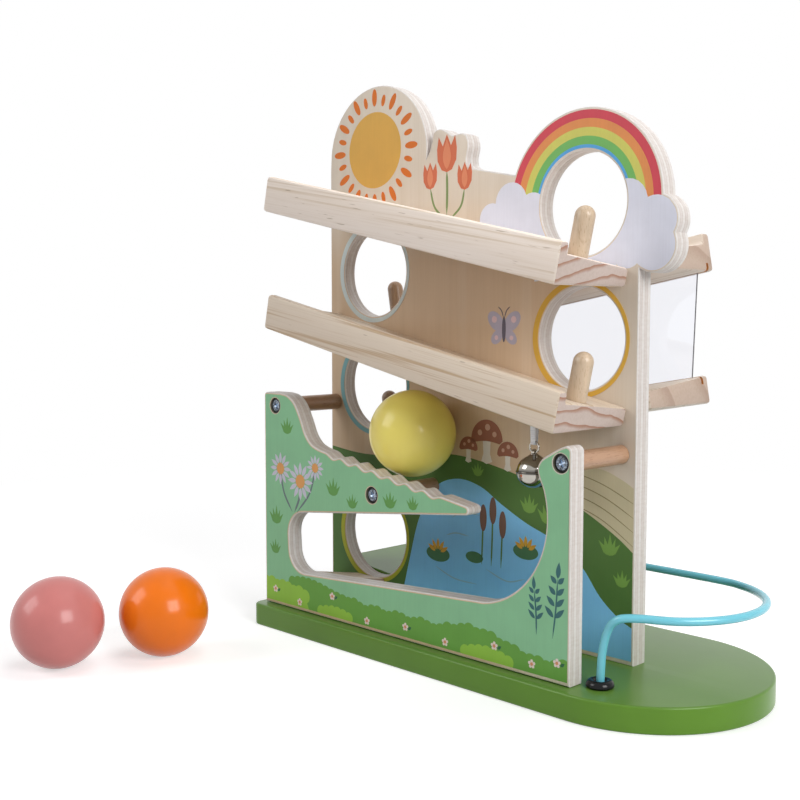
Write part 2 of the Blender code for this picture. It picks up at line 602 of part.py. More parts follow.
# Bell group: ribbon, ring, bell and loose pellet swing from a plug under the lower front track
BELL_X = 0.0400
BELL_Y = -0.03095
PLUG_RADIUS = 0.0036
RIBBON_WIDTH = 0.0034
RIBBON_THICK = 0.0005
RING_RADIUS = 0.0026
RING_WIRE = 0.0005
LOOP_RADIUS = 0.0016
LOOP_WIRE = 0.0005
BELL_SHOULDER = [(0.0, 0.0083), (0.0021, 0.0081), (0.0036, 0.0070), (0.0052, 0.0058), (0.0068, 0.0038),
                 (0.0076, 0.0015)]


def bell_profile(inset):
    """Pear-shaped outer side of the bell, or its hollow when inset by the wall."""
    shoulder = [(max(r - inset, 0.0), h - inset) for r, h in BELL_SHOULDER]
    return shoulder + arc((0.0, 0.0), BELL_RADIUS - inset, 0, -90, 7)[:-1] + [(0.0, inset - BELL_RADIUS)]


lower_matrix = track_frames["front_lower"]
underside = lower_matrix.translation.z - (BELL_X - lower_matrix.translation.x) * math.tan(FRONT_SLOPE)
track_up = Vector((math.sin(FRONT_SLOPE), 0.0, math.cos(FRONT_SLOPE)))
plug_mouth = Vector((BELL_X, BELL_Y, underside))
drill(tracks["front_lower"], plug_mouth, track_up, PLUG_RADIUS + SEAT, 0.006 + SEAT)
rod("ribbon_plug", plug_mouth, track_up, PLUG_RADIUS, 0.006, beech)

bell_pivot = bpy.data.objects.new("bell_pivot", None)
parts.objects.link(bell_pivot)
bell_pivot.location = (BELL_X, BELL_Y, underside - 0.0018)
bpy.context.view_layer.update()

strap_bend = RING_WIRE + SEAT
strap_outer = strap_bend + RIBBON_THICK
ring_top = -RIBBON_LENGTH + strap_outer
strap_top = (0.0, -strap_outer)
strap_foot = (0.0, ring_top)
strap_ends, strap_eye = [arc(strap_top, radius, 180, 0, 8) + arc(strap_foot, radius, 0, -180, 8)
                         for radius in (strap_outer, strap_bend)]
pivot_at = bell_pivot.matrix_world.translation
ribbon = add_part("bell_ribbon", plate_mesh([strap_ends, strap_eye], RIBBON_WIDTH), white_ribbon,
                  frame(pivot_at, (0, 1, 0), (0, 0, 1)))
ring_centre = ring_top + RING_WIRE - RING_RADIUS
loop_centre = ring_centre - RING_RADIUS - (LOOP_RADIUS - LOOP_WIRE - RING_WIRE - SEAT)
bell_centre = loop_centre - BELL_SHOULDER[0][1] - LOOP_RADIUS / 3
bell_ring = add_part("bell_ring", ring_mesh(RING_RADIUS, RING_WIRE, 16, 6), nickel,
                     frame(pivot_at + Vector((0, 0, ring_centre)), (1, 0, 0), (0, 0, 1)))
bell_at = pivot_at + Vector((0, 0, bell_centre))
bell_shell = add_part("bell_shell", turned_mesh(bell_profile(0.0), 20), nickel, Matrix.Translation(bell_at))
combine(bell_shell, ring_mesh(LOOP_RADIUS, LOOP_WIRE, 12, 6),
        frame(pivot_at + Vector((0, 0, loop_centre)), (0, 1, 0), (0, 0, 1)), "UNION")
combine(bell_shell, turned_mesh(bell_profile(BELL_WALL), 16), Matrix.Translation(bell_at))
slit_at = bell_at + Vector((0, 0, -0.0085))
combine(bell_shell, box_mesh((0.0105, 0.0014, 0.012)), Matrix.Translation(slit_at))
for side in (-1, 1):
    combine(bell_shell, rod_mesh(0.0014, 0.008, 12), aim(bell_at, (0.62 * side, 0, -0.78)))
pellet_radius = 0.0022
pellet_at = bell_at + Vector((0, 0, -(BELL_RADIUS - BELL_WALL - pellet_radius - 2 * SEAT)))
bell_pellet = add_part("bell_pellet", sphere_mesh(pellet_radius, 12, 8), nickel,
                       Matrix.Translation(pellet_at))
for piece in (ribbon, bell_ring, bell_shell, bell_pellet):
    piece.parent = bell_pivot
    piece.matrix_parent_inverse = bell_pivot.matrix_world.inverted()

# Balls: one on the ramp against the main panel, two on the floor in front
ramp_line = math.atan(RAMP_FALL)
ball_from_edge = MAIN_FACE - SEAT - BALL_RADIUS - FRONT_BACK
ball_above = math.sqrt((BALL_RADIUS + SEAT) ** 2 - ball_from_edge ** 2) / math.cos(ramp_line)
YELLOW_X = -0.0409
yellow_z = PANEL_FOOT + ramp_height(YELLOW_X - FRONT_LEFT) + ball_above
yellow_at = (YELLOW_X, MAIN_FACE - SEAT - BALL_RADIUS, yellow_z)
add_part("yellow_ball", sphere_mesh(BALL_RADIUS, 24, 12), yellow_paint, Matrix.Translation(yellow_at))
add_part("pink_ball", sphere_mesh(BALL_RADIUS, 24, 12), pink_paint,
         Matrix.Translation((-0.1410, -0.17745, BALL_RADIUS + SEAT)))
add_part("orange_ball", sphere_mesh(BALL_RADIUS, 24, 12), orange_paint,
         Matrix.Translation((-0.1214, -0.12905, BALL_RADIUS + SEAT)))
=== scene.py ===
import math

import bmesh
import bpy
from mathutils import Matrix, Vector
from mathutils.geometry import tessellate_polygon


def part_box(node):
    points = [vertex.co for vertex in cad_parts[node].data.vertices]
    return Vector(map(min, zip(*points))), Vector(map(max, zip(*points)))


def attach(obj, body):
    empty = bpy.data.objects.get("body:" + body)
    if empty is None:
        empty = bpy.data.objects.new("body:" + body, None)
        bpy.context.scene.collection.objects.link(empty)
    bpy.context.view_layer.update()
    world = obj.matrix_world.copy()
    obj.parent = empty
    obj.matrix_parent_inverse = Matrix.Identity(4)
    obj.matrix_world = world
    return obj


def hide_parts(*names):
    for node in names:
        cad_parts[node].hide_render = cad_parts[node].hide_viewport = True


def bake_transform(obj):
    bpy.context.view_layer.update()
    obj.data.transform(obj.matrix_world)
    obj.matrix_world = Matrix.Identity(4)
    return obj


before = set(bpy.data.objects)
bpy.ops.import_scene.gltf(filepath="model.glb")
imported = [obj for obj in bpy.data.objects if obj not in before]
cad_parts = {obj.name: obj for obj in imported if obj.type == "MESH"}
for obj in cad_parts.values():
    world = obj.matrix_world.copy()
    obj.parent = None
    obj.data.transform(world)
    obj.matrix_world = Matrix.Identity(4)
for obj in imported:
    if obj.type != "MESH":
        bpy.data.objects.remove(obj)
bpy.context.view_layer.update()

# Studio: the camera stands where the photograph was taken, a little above the middle of the run. The floor
# is a white sweep, lit by a lamp to the right of the camera, a broad one at the left and a soft one
# overhead.
LAMP_AIM = Vector((-0.02, -0.04, 0.13))
SKY_LIGHT = 0.06
FLOOR_REACH = 6.0
WHITE = (1.0, 1.0, 1.0)
scene = bpy.context.scene
scene.view_settings.view_transform = "Standard"

camera_data = bpy.data.cameras.new("camera")
camera_data.sensor_width = 36.0
camera_data.lens = 50.73
camera = bpy.data.objects.new("camera", camera_data)
camera.location = (0.36665, -0.44223, 0.17347)
camera.rotation_euler = (math.radians(90 - 4.248), 0.0, math.radians(45.291))
scene.collection.objects.link(camera)
scene.camera = camera


def fill(tree, node, values):
    """Set or link the sockets of a node that values names."""
    for socket, value in values.items():
        if isinstance(value, bpy.types.NodeSocket):
            tree.links.new(value, node.inputs[socket])
        else:
            node.inputs[socket].default_value = value


def add_node(tree, kind, values=None, **options):
    """Add a shader node with its options and the sockets named in values."""
    node = tree.nodes.new(kind)
    for option, setting in options.items():
        setattr(node, option, setting)
    fill(tree, node, values or {})
    return node


def calc(tree, operation, *values):
    """The result of a sum on numbers."""
    return add_node(tree, "ShaderNodeMath", dict(enumerate(values)), operation=operation).outputs[0]


def vector_calc(tree, operation, *values):
    """The result of a sum on vectors, which is a number for products, lengths and distances."""
    node = add_node(tree, "ShaderNodeVectorMath", dict(enumerate(values)), operation=operation)
    return node.outputs["Value" if operation in ("DOT_PRODUCT", "LENGTH", "DISTANCE") else "Vector"]


def ranged(tree, value, low, high, to_low=0.0, to_high=1.0):
    """A value from low to high, stretched over to_low to to_high and held at their ends."""
    limits = {"Value": value, "From Min": low, "From Max": high, "To Min": to_low, "To Max": to_high}
    return add_node(tree, "ShaderNodeMapRange", limits).outputs["Result"]


def mixed(tree, amount, first, second, way="MIX"):
    """Two colours mixed by an amount from 0 to 1."""
    sides = [value if isinstance(value, bpy.types.NodeSocket) else (*value, 1.0) for value in (first, second)]
    values = {"Fac": amount, "Color1": sides[0], "Color2": sides[1]}
    return add_node(tree, "ShaderNodeMixRGB", values, blend_type=way).outputs[0]


def place_on(tree):
    """Place on the piece, in metres of the shared frame."""
    return add_node(tree, "ShaderNodeTexCoord").outputs["Object"]


def seen_directly(tree):
    """1 for rays from the camera, off gloss and through glass, and 0 for rays that light other things."""
    path = add_node(tree, "ShaderNodeLightPath").outputs
    gloss = calc(tree, "MAXIMUM", path["Is Camera Ray"], path["Is Glossy Ray"])
    return calc(tree, "MAXIMUM", gloss, path["Is Transmission Ray"])


def add_lamp(name, place, size, power):
    """A square soft lamp that faces the run."""
    data = bpy.data.lights.new(name, "AREA")
    data.size = size
    data.energy = power
    lamp = bpy.data.objects.new(name, data)
    lamp.location = place
    lamp.rotation_euler = (LAMP_AIM - lamp.location).to_track_quat("-Z", "Y").to_euler()
    scene.collection.objects.link(lamp)
    return lamp


world = bpy.data.worlds.new("studio")
world.use_nodes = True
scene.world = world
sky_tree = world.node_tree
sky_level = calc(sky_tree, "MULTIPLY_ADD", seen_directly(sky_tree), 1.0 - SKY_LIGHT, SKY_LIGHT)
fill(sky_tree, sky_tree.nodes["Background"], {"Color": (*WHITE, 1.0), "Strength": sky_level})

add_lamp("right_lamp", (1.04, -0.24, 0.60), 0.62, 10.2)
add_lamp("left_lamp", (-0.66, -0.95, 0.72), 0.62, 5.3)
add_lamp("top_lamp", (0.05, 0.10, 0.80), 0.60, 3.2).visible_glossy = False

floor_mesh = bpy.data.meshes.new("floor")
floor_corners = [(FLOOR_REACH * x, FLOOR_REACH * y, 0.0) for x, y in ((-1, -1), (1, -1), (1, 1), (-1, 1))]
floor_mesh.from_pydata(floor_corners, [], [(0, 1, 2, 3)])
floor = bpy.data.objects.new("floor", floor_mesh)
scene.collection.objects.link(floor)
floor_white = bpy.data.materials.new("floor_white")
floor_white.use_nodes = True
floor_tree = floor_white.node_tree
floor_seen = seen_directly(floor_tree)
floor_place = place_on(floor_tree)
floor_far = ranged(floor_tree, vector_calc(floor_tree, "LENGTH", floor_place), 0.3, 0.75)
floor_front = vector_calc(floor_tree, "DOT_PRODUCT", floor_place, (1.0, -1.0, 0.0))
floor_near = ranged(floor_tree, floor_front, 0.02, 0.16, 0.57, 0.4)
floor_lift = ranged(floor_tree, floor_far, 0.0, 0.85, floor_near, 1.0)
floor_fade = calc(floor_tree, "MULTIPLY", floor_seen, floor_far)
fill(floor_tree, floor_tree.nodes["Principled BSDF"],
     {"Base Color": mixed(floor_tree, floor_fade, (0.72, 0.72, 0.725), (0.0, 0.0, 0.0)),
      "Roughness": 0.9, "Specular IOR Level": 0.0, "Emission Color": (*WHITE, 1.0),
      "Emission Strength": calc(floor_tree, "MULTIPLY", floor_seen, floor_lift)})
floor_mesh.materials.append(floor_white)

# Base board and back ramp: a sanded board and a low wedge, sprayed with satin green toy paint. The board's
# edges are rounded over and it is countersunk below for its screws; the wedge is glued on behind the main
# panel.
QUARTER = math.pi / 2
BASE_CORNER = 0.006
BASE_ARRIS = 0.0011
BASE_SINK = 0.0039
BASE_BORE = 0.0020
BASE_SINK_TOP = 0.0046
BASE_SINK_LIP = 0.0017


def tint(red, green, blue):
    """A colour given as it looks on a screen, 0 to 255, as the shader wants it."""
    levels = [value / 255 for value in (red, green, blue)]
    return tuple(v / 12.92 if v <= 0.04045 else ((v + 0.055) / 1.055) ** 2.4 for v in levels)


def new_finish(name):
    """A material with its node tree and Principled shader."""
    finish = bpy.data.materials.new(name)
    finish.use_nodes = True
    return finish, finish.node_tree, finish.node_tree.nodes["Principled BSDF"]


def texture(tree, stretch, detail=3.0, place=None, rough=0.5):
    """Noise over the piece, with stretch in bumps per metre along X, Y and Z."""
    if place is None:
        place = place_on(tree)
    scaled = add_node(tree, "ShaderNodeMapping", {"Vector": place, "Scale": stretch}).outputs[0]
    values = {"Vector": scaled, "Scale": 1.0, "Detail": detail, "Roughness": rough}
    return add_node(tree, "ShaderNodeTexNoise", values).outputs["Fac"]


def ramp(tree, level, stops):
    """Colours along a level from 0 to 1."""
    node = add_node(tree, "ShaderNodeValToRGB", {"Fac": level})
    elements = node.color_ramp.elements
    while len(elements) < len(stops):
        elements.new(1.0)
    for element, (position, colour) in zip(elements, stops):
        element.position = position
        element.color = (*colour, 1.0)
    return node.outputs["Color"]


def spread(tree, level, low, high):
    """Stretch the common middle of a noise over low to high."""
    return ranged(tree, level, 0.25, 0.75, low, high)


def shade(colour, factor):
    """The same colour, darker or lighter."""
    return tuple(min(1.0, value * factor) for value in colour)


def paint_finish(name, colour, gloss, coat=0.0, shine=0.5, metal=0.0):
    """Sprayed paint or plating, a little cloudy in colour and in gloss."""
    finish, tree, shader = new_finish(name)
    clouds = texture(tree, (38.0,) * 3, 4.0)
    fill(tree, shader,
         {"Base Color": ramp(tree, clouds, [(0.3, shade(colour, 0.93)), (0.7, shade(colour, 1.05))]),
          "Roughness": spread(tree, texture(tree, (160.0,) * 3), gloss - 0.01, gloss + 0.01),
          "Specular IOR Level": shine, "Coat Weight": coat, "Coat Roughness": 0.18, "Metallic": metal})
    return finish


def colour_of(finish):
    """The colour that a finish has so far."""
    return finish.node_tree.nodes["Principled BSDF"].inputs["Base Color"].links[0].from_socket


def recolour(finish, colour):
    """Give a finish another colour."""
    fill(finish.node_tree, finish.node_tree.nodes["Principled BSDF"], {"Base Color": colour})


def axis_part(tree, vector, axis):
    """The part of a vector along an axis."""
    return add_node(tree, "ShaderNodeSeparateXYZ", {0: vector}).outputs[axis]


def facing(tree, kind="True Normal"):
    """The way that the surface faces."""
    return add_node(tree, "ShaderNodeNewGeometry").outputs[kind]


def dress(node, finish):
    """Give a CAD piece its finish."""
    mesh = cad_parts[node].data
    mesh.materials.clear()
    mesh.materials.append(finish)


def area(loop):
    """Signed area of a closed outline, positive when it runs anticlockwise."""
    return sum(a[0] * b[1] - b[0] * a[1] for a, b in zip(loop, loop[1:] + loop[:1])) / 2


def mitres(loop):
    """For each point the step outwards that moves both its edges out by one."""
    count = len(loop)
    steps = []
    for i in range(count):
        before, here, after = [Vector(loop[(i + k) % count]) for k in (-1, 0, 1)]
        first = (here - before).normalized()
        second = (after - here).normalized()
        sides = Vector((first.y, -first.x)) + Vector((second.y, -second.x))
        steps.append(sides / max(0.3, 1 + first.dot(second)))
    return steps


def sawn_mesh(name, loops, profiles, face_y, apart=False):
    """A plate from outlines in X and Z, each with its edge profile of (step out, depth) points.

    The outlines after the first are holes, or plates of their own where apart is true."""
    verts, faces, fronts, backs = [], [], [], []
    for loop, profile in zip(loops, profiles):
        outward = mitres(loop)
        rows = []
        for out, deep in profile:
            rows.append(list(range(len(verts), len(verts) + len(loop))))
            verts += [(x + out * step.x, face_y + deep, z + out * step.y)
                      for (x, z), step in zip(loop, outward)]
        for upper, lower in zip(rows, rows[1:]):
            for i in range(len(loop)):
                j = (i + 1) % len(loop)
                faces.append((upper[i], lower[i], lower[j], upper[j]))
        fronts.append(rows[0])
        backs.append(rows[-1])
    walls = len(faces)
    caps = [[row] for row in fronts + backs] if apart else [fronts, backs]
    for cap in caps:
        spots = [v for row in cap for v in row]
        outlines = [[Vector((verts[v][0], verts[v][2], 0.0)) for v in row] for row in cap]
        for triangle in tessellate_polygon(outlines):
            corner = [spots[k] for k in triangle]
            outward = (area([verts[v][::2] for v in corner]) > 0) == (cap[0] in fronts)
            faces.append(corner if outward else corner[::-1])
    mesh = bpy.data.meshes.new(name)
    mesh.from_pydata(verts, [], faces)
    mesh.polygons.foreach_set("use_smooth", [number < walls for number in range(len(mesh.polygons))])
    mesh.set_sharp_from_angle(angle=math.radians(35))
    return mesh


def add_piece(name, mesh, finish, body="stand", nodes=()):
    """Put a mesh in the scene as a piece that moves with a body and stands for CAD nodes."""
    piece = bpy.data.objects.new(name, mesh)
    scene.collection.objects.link(piece)
    mesh.materials.clear()
    mesh.materials.append(finish)
    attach(piece, body)
    if nodes:
        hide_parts(*nodes)


def arc(x, z, radius, start, end, steps):
    """Points on a circle between two angles in degrees."""
    angles = [math.radians(start + (end - start) * i / steps) for i in range(steps + 1)]
    return [(x + radius * math.cos(a), z + radius * math.sin(a)) for a in angles]


def rounding(arris, steps):
    """Quarter round of an edge as (step out, depth) points from the face to the side."""
    angles = [QUARTER * i / steps for i in range(steps + 1)]
    return [(arris * math.sin(a), arris * (1 - math.cos(a))) for a in angles]


green_paint = paint_finish("green_paint", tint(94, 138, 38), 0.3, 0.21, 0.2)
green_tree = green_paint.node_tree
# Faces that look up take a greyer, bluer green than the sides: painted shade and painted reflection on the
# base's top.
painted_top_tone = ranged(green_tree, axis_part(green_tree, facing(green_tree, "Normal"), "Z"), 0.2, 0.95)
recolour(green_paint, mixed(green_tree, painted_top_tone, colour_of(green_paint), tint(92, 130, 52)))
dress("back_ramp", green_paint)

base_low, base_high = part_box("base_board")
base_thick = base_high.z - base_low.z
half_wide = (base_high.y - base_low.y) / 2
corner_x, corner_y = base_low.x + BASE_CORNER, half_wide - BASE_CORNER
base_loops = [arc(base_high.x - half_wide, 0.0, half_wide, -90, 90, 96)
              + arc(corner_x, corner_y, BASE_CORNER, 90, 180, 12)
              + arc(corner_x, -corner_y, BASE_CORNER, 180, 270, 12)]
top_edge = [(out - BASE_ARRIS, deep) for out, deep in rounding(BASE_ARRIS, 6)]
base_profiles = [top_edge + [(out, base_thick - deep) for out, deep in reversed(top_edge)]]
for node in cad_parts:
    if node.startswith("base_screw"):
        spot = sum(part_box(node), Vector()) / 2
        step_in = BASE_SINK - BASE_BORE
        base_loops.append(arc(spot.x, spot.y, BASE_SINK, 0, -350, 35))
        base_profiles.append([(step_in, 0.0), (step_in, base_thick - BASE_SINK_TOP),
                              (0.0, base_thick - BASE_SINK_LIP), (0.0, base_thick)])
base_mesh = sawn_mesh("base_board_sanded", base_loops, base_profiles, -base_high.z)
base_mesh.transform(Matrix.Rotation(-QUARTER, 4, "X"))
add_piece("base_board_sanded", base_mesh, green_paint, nodes=["base_board"])

# Main panel and front panel: plywood about 10 mm thick, sawn to shape, sanded round at the arrises and
# clear lacquered. The plies show as fine steps round every sawn edge; the left ball holes are opened out at
# the back, and the front panel is drilled for its three sunk screws.
ARRIS = 0.0009
PLY_STEP = 0.00005
PLY_LINES = (0.29, 0.50, 0.71)
LEAD_IN = 0.003
LEFT_HOLES_END = -0.060
SINK_RIM = 0.0046
SINK_DEPTH = 0.0024
SCREW_BORE = 0.0019


def face_loops(node):
    """Outlines of a panel's flat front, read from its solid: the outer one first, without drill holes."""
    solid = bmesh.new()
    solid.from_mesh(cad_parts[node].data)
    bmesh.ops.remove_doubles(solid, verts=solid.verts, dist=1e-6)
    face_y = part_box(node)[0].y
    flat = {f for f in solid.faces if f.normal.y < -0.999 and abs(f.calc_center_median().y - face_y) < 1e-5}
    ways = {}
    for edge in solid.edges:
        if sum(f in flat for f in edge.link_faces) == 1:
            first, second = edge.verts
            ways.setdefault(first, []).append(second)
            ways.setdefault(second, []).append(first)
    loops = []
    while ways:
        start = next(iter(ways))
        loop, here = [], start
        while here in ways:
            loop.append((here.co.x, here.co.z))
            onward = [v for v in ways.pop(here) if v in ways]
            here = onward[0] if onward else start
        loops.append(loop)
    solid.free()
    loops = [loop for loop in loops if max(p[0] for p in loop) - min(p[0] for p in loop) > 0.02]
    return sorted(loops, key=lambda loop: min(p[0] for p in loop))


def turned_for_sawing(loops):
    """The first outline anticlockwise and the holes clockwise, so that the wood is always on the left."""
    return [loop if (area(loop) > 0) == (number == 0) else loop[::-1] for number, loop in enumerate(loops)]


def finer(loop):
    """Put a point in the middle of every short step of a round stretch."""
    made = []
    count = len(loop)
    for i in range(count):
        before, here, after, beyond = [Vector(loop[(i + k) % count]) for k in (-1, 0, 1, 2)]
        made.append(tuple(here))
        steps = [(here - before), (after - here), (beyond - after)]
        lengths = [step.length for step in steps]
        even = max(lengths) < 3 * min(lengths)
        if even and steps[0].angle(steps[1]) < 0.5 and steps[1].angle(steps[2]) < 0.5:
            made.append(tuple((9 * (here + after) - before - beyond) / 16))
    return made


def ply_profile(ply, lead_in=0.0):
    """Edge of a sanded ply board: a round arris, fine steps at the plies, and a round or opened-out back."""
    curve = rounding(ARRIS, 5)
    points = list(curve)
    for line in PLY_LINES:
        if not lead_in or line * ply < ply - lead_in - PLY_STEP:
            points += [(ARRIS, line * ply - 2 * PLY_STEP), (ARRIS - PLY_STEP, line * ply),
                       (ARRIS, line * ply + 2 * PLY_STEP)]
    if lead_in:
        return points + [(ARRIS, ply - lead_in), (ARRIS - lead_in, ply)]
    return points + [(out, ply - deep) for out, deep in reversed(curve)]


def darkened(tree, colour, level, stops, amount=1.0):
    """Multiply a colour by greys or browns along a level."""
    return mixed(tree, amount, colour, ramp(tree, level, stops), "MULTIPLY")


def relief(tree, height, depth):
    """The surface raised by a height texture."""
    return add_node(tree, "ShaderNodeBump", {"Height": height, "Strength": 0.6, "Distance": depth}).outputs[0]


def plywood_finish(name, corner, ply, sinks):
    """Rotary-cut veneer with upright grain and plies along the edges; the front is painted warm in its middle
    as painted shade, and paler at top and right as painted light.
    """
    finish, tree, shader = new_finish(name)
    place = place_on(tree)
    outward = axis_part(tree, facing(tree), "Y")
    # Painted light: the top and right of the front and the whole back take the pale tone, and the rest of the
    # front takes the warm one, as painted shade.
    near_top = ranged(tree, axis_part(tree, place, "Z"), corner.z + 0.190, corner.z + 0.222)
    near_right = ranged(tree, axis_part(tree, place, "X"), corner.x + 0.160, corner.x + 0.200)
    painted_light = calc(tree, "GREATER_THAN", outward, 0.5)
    for edge in (near_top, near_right):
        painted_light = calc(tree, "MAXIMUM", painted_light, edge)
    face = mixed(tree, painted_light, tint(216, 189, 158), tint(222, 210, 194))
    bands = texture(tree, (46.0, 20.0, 2.6), 3.0, place, 0.6)
    fibres = texture(tree, (1100.0, 500.0, 26.0), 2.0, place)
    face = darkened(tree, face, bands, [(0.3, (0.92, 0.9, 0.87)), (0.52, WHITE), (0.74, (0.97, 0.96, 0.95))])
    face = darkened(tree, face, fibres, [(0.3, (0.97, 0.96, 0.94)), (0.6, WHITE)])
    flash = texture(tree, (95.0, 40.0, 1.4), 1.0, place)
    flash = ramp(tree, flash, [(0.6, (0.0,) * 3), (0.72, (0.14,) * 3)])
    face = mixed(tree, flash, face, tint(240, 230, 216))

    wander = spread(tree, texture(tree, (90.0, 30.0, 90.0), 2.0, place), -0.018, 0.018)
    depth = calc(tree, "SUBTRACT", axis_part(tree, place, "Y"), corner.y)
    depth = calc(tree, "MULTIPLY_ADD", depth, 1.0 / ply, wander)
    light, end, glue = tint(220, 215, 211), tint(210, 202, 197), tint(191, 173, 163)
    plies = ramp(tree, depth, [(0.0, light), (0.075, light), (0.09, glue), (0.11, end), (0.275, end),
                               (0.29, glue), (0.31, light), (0.485, light), (0.5, glue), (0.52, end),
                               (0.695, end), (0.71, glue), (0.73, light), (0.915, light), (0.93, end),
                               (1.0, light)])
    specks = texture(tree, (900.0, 260.0, 900.0), 3.0, place)
    plies = darkened(tree, plies, specks, [(0.34, (0.88, 0.85, 0.82)), (0.58, WHITE)], 0.5)

    on_face = ranged(tree, calc(tree, "ABSOLUTE", outward), 0.9, 0.985)
    colour = mixed(tree, on_face, plies, face)
    flat = vector_calc(tree, "MULTIPLY", place, (1.0, 0.0, 1.0))
    # Inside each screw sink the wood is painted dark grey-brown: painted shade of the recess round the head.
    for spot in sinks:
        away = vector_calc(tree, "DISTANCE", flat, (spot.x, 0.0, spot.z))
        colour = mixed(tree, calc(tree, "LESS_THAN", away, SINK_RIM - 0.0002), colour, tint(98, 96, 80))
    fill(tree, shader, {"Base Color": colour, "Roughness": spread(tree, bands, 0.36, 0.46),
                        "Specular IOR Level": 0.4, "Normal": relief(tree, fibres, 0.00001)})
    return finish


panels = {}
for panel, label in (("main_panel", "main"), ("front_panel", "front")):
    low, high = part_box(panel)
    ply = high.y - low.y
    loops = turned_for_sawing([finer(loop) for loop in face_loops(panel)])
    opened = [number > 0 and max(p[0] for p in loop) < LEFT_HOLES_END for number, loop in enumerate(loops)]
    profiles = [ply_profile(ply, LEAD_IN if lead else 0.0) for lead in opened]
    screws = [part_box(node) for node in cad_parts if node.startswith("spacer_screw") and label == "front"]
    sinks = [(screw[0] + screw[1]) / 2 for screw in screws]
    for middle in sinks:
        loops.append(arc(middle.x, middle.z, SINK_RIM, 0, -352.5, 47))
        profiles.append([(0.0, 0.0), (0.0003, 0.0001), (0.0004, 0.0004), (0.0004, SINK_DEPTH),
                         (SINK_RIM - SCREW_BORE, SINK_DEPTH), (SINK_RIM - SCREW_BORE, ply)])
    add_piece(label + "_panel_board", sawn_mesh(label + "_panel_board", loops, profiles, low.y),
              plywood_finish(label + "_plywood", low, ply, sinks), nodes=[panel])
    panels[label] = (low, loops)

# Sun print: a plain golden disc with rays by turns long and short, on the left dome. Like all the prints it
# is flat ink on the panel's front, through which the veneer's grain shows faintly, and it ends just short
# of the sanded arrises. Outlines are in millimetres from a panel's lower left corner.
INK = 0.00003
INK_MARGIN = 0.0002
BARE_FOOT = 0.0007
TRIM_REACH = 0.002
SUN = (36.8, 252.8)


def ink(name, colour):
    """Printing ink, a little uneven, over the grain of the veneer."""
    finish, tree, shader = new_finish(name)
    fibres = texture(tree, (1300.0, 600.0, 40.0), 2.0)
    mottle = texture(tree, (70.0,) * 3, 4.0)
    body = ramp(tree, mottle, [(0.32, shade(colour, 0.96)), (0.68, shade(colour, 1.03))])
    body = darkened(tree, body, fibres, [(0.3, (0.96,) * 3), (0.6, WHITE)], 0.7)
    fill(tree, shader, {"Base Color": body, "Roughness": spread(tree, mottle, 0.42, 0.5),
                        "Specular IOR Level": 0.22, "Normal": relief(tree, fibres, 0.00001)})
    return finish


def ink_field(name, label, top, deep):
    """A plate over the part of a panel's front that takes ink, which leaves a bare line along the foot."""
    low, loops = panels[label]
    loops = [[(x, max(z, low.z + ARRIS + BARE_FOOT)) for x, z in loop] for loop in loops]
    return sawn_mesh(name, loops, [[(-INK_MARGIN, 0.0), (-INK_MARGIN, deep)]] * len(loops), low.y - top)


def applied(source):
    """The mesh that an object's curve or modifiers make; the object itself goes."""
    mesh = bpy.data.meshes.new_from_object(source.evaluated_get(bpy.context.evaluated_depsgraph_get()))
    bpy.data.objects.remove(source)
    return mesh


def carved(mesh, tools, operation):
    """A mesh cut by others: what it shares with them (INTERSECT) or what they leave of it (DIFFERENCE)."""
    solid = bpy.data.objects.new("solid", mesh)
    scene.collection.objects.link(solid)
    cutters = [bpy.data.objects.new("cutter", tool) for tool in tools]
    for cutter in cutters:
        scene.collection.objects.link(cutter)
        cut = solid.modifiers.new("cut", "BOOLEAN")
        cut.operation = operation
        cut.object = cutter
    kept = applied(solid)
    for cutter in cutters:
        bpy.data.objects.remove(cutter)
    return kept


def add_print(name, mesh, colour):
    """Put a print in the scene in an ink of its own, whose colour is given as it looks on a screen."""
    mesh.polygons.foreach_set("use_smooth", [False] * len(mesh.polygons))
    add_piece("print_" + name, mesh, ink("ink_" + name, tint(*colour)))


def lay_print(name, label, layer, outlines, colour, trim=False):
    """Lay a print of one or more outlines over so many layers of ink, trimmed to the panel where asked."""
    low = panels[label][0]
    top = low.y - INK * (layer + 1)
    loops = [[(low.x + x / 1000, low.z + z / 1000) for x, z in outline] for outline in outlines]
    loops = [loop if area(loop) > 0 else loop[::-1] for loop in loops]
    profile = [(0.0, 0.0), (0.0, low.y + INK - top)]
    mesh = sawn_mesh("print_" + name, loops, [profile] * len(loops), top, apart=True)
    if trim:
        mesh = carved(mesh, [ink_field("field", label, TRIM_REACH, 2 * TRIM_REACH)], "INTERSECT")
    add_print(name, mesh, colour)


def oval(x, z, wide, high=None, turn=0.0, steps=48):
    """An ellipse of half-sizes wide and high, turned by degrees."""
    high = high or wide
    c, s = math.cos(math.radians(turn)), math.sin(math.radians(turn))
    angles = [2 * math.pi * i / steps for i in range(steps)]
    points = [(wide * math.cos(a), high * math.sin(a)) for a in angles]
    return [(x + px * c - pz * s, z + px * s + pz * c) for px, pz in points]


def towards(degrees):
    """A step of one in a direction."""
    return Vector((math.cos(math.radians(degrees)), math.sin(math.radians(degrees))))


sun_rays = []
for turn in range(0, 360, 15):
    middle, long, wide = (28.6, 4.7, 1.9) if turn % 30 == 0 else (27.2, 3.2, 1.5)
    sun_rays.append(oval(*(Vector(SUN) + middle * towards(turn)), long, wide, turn, 24))
lay_print("sun_disc", "main", 0, [oval(*SUN, 20.8)], (222, 173, 84))
lay_print("sun_rays", "main", 0, sun_rays, (220, 116, 38))

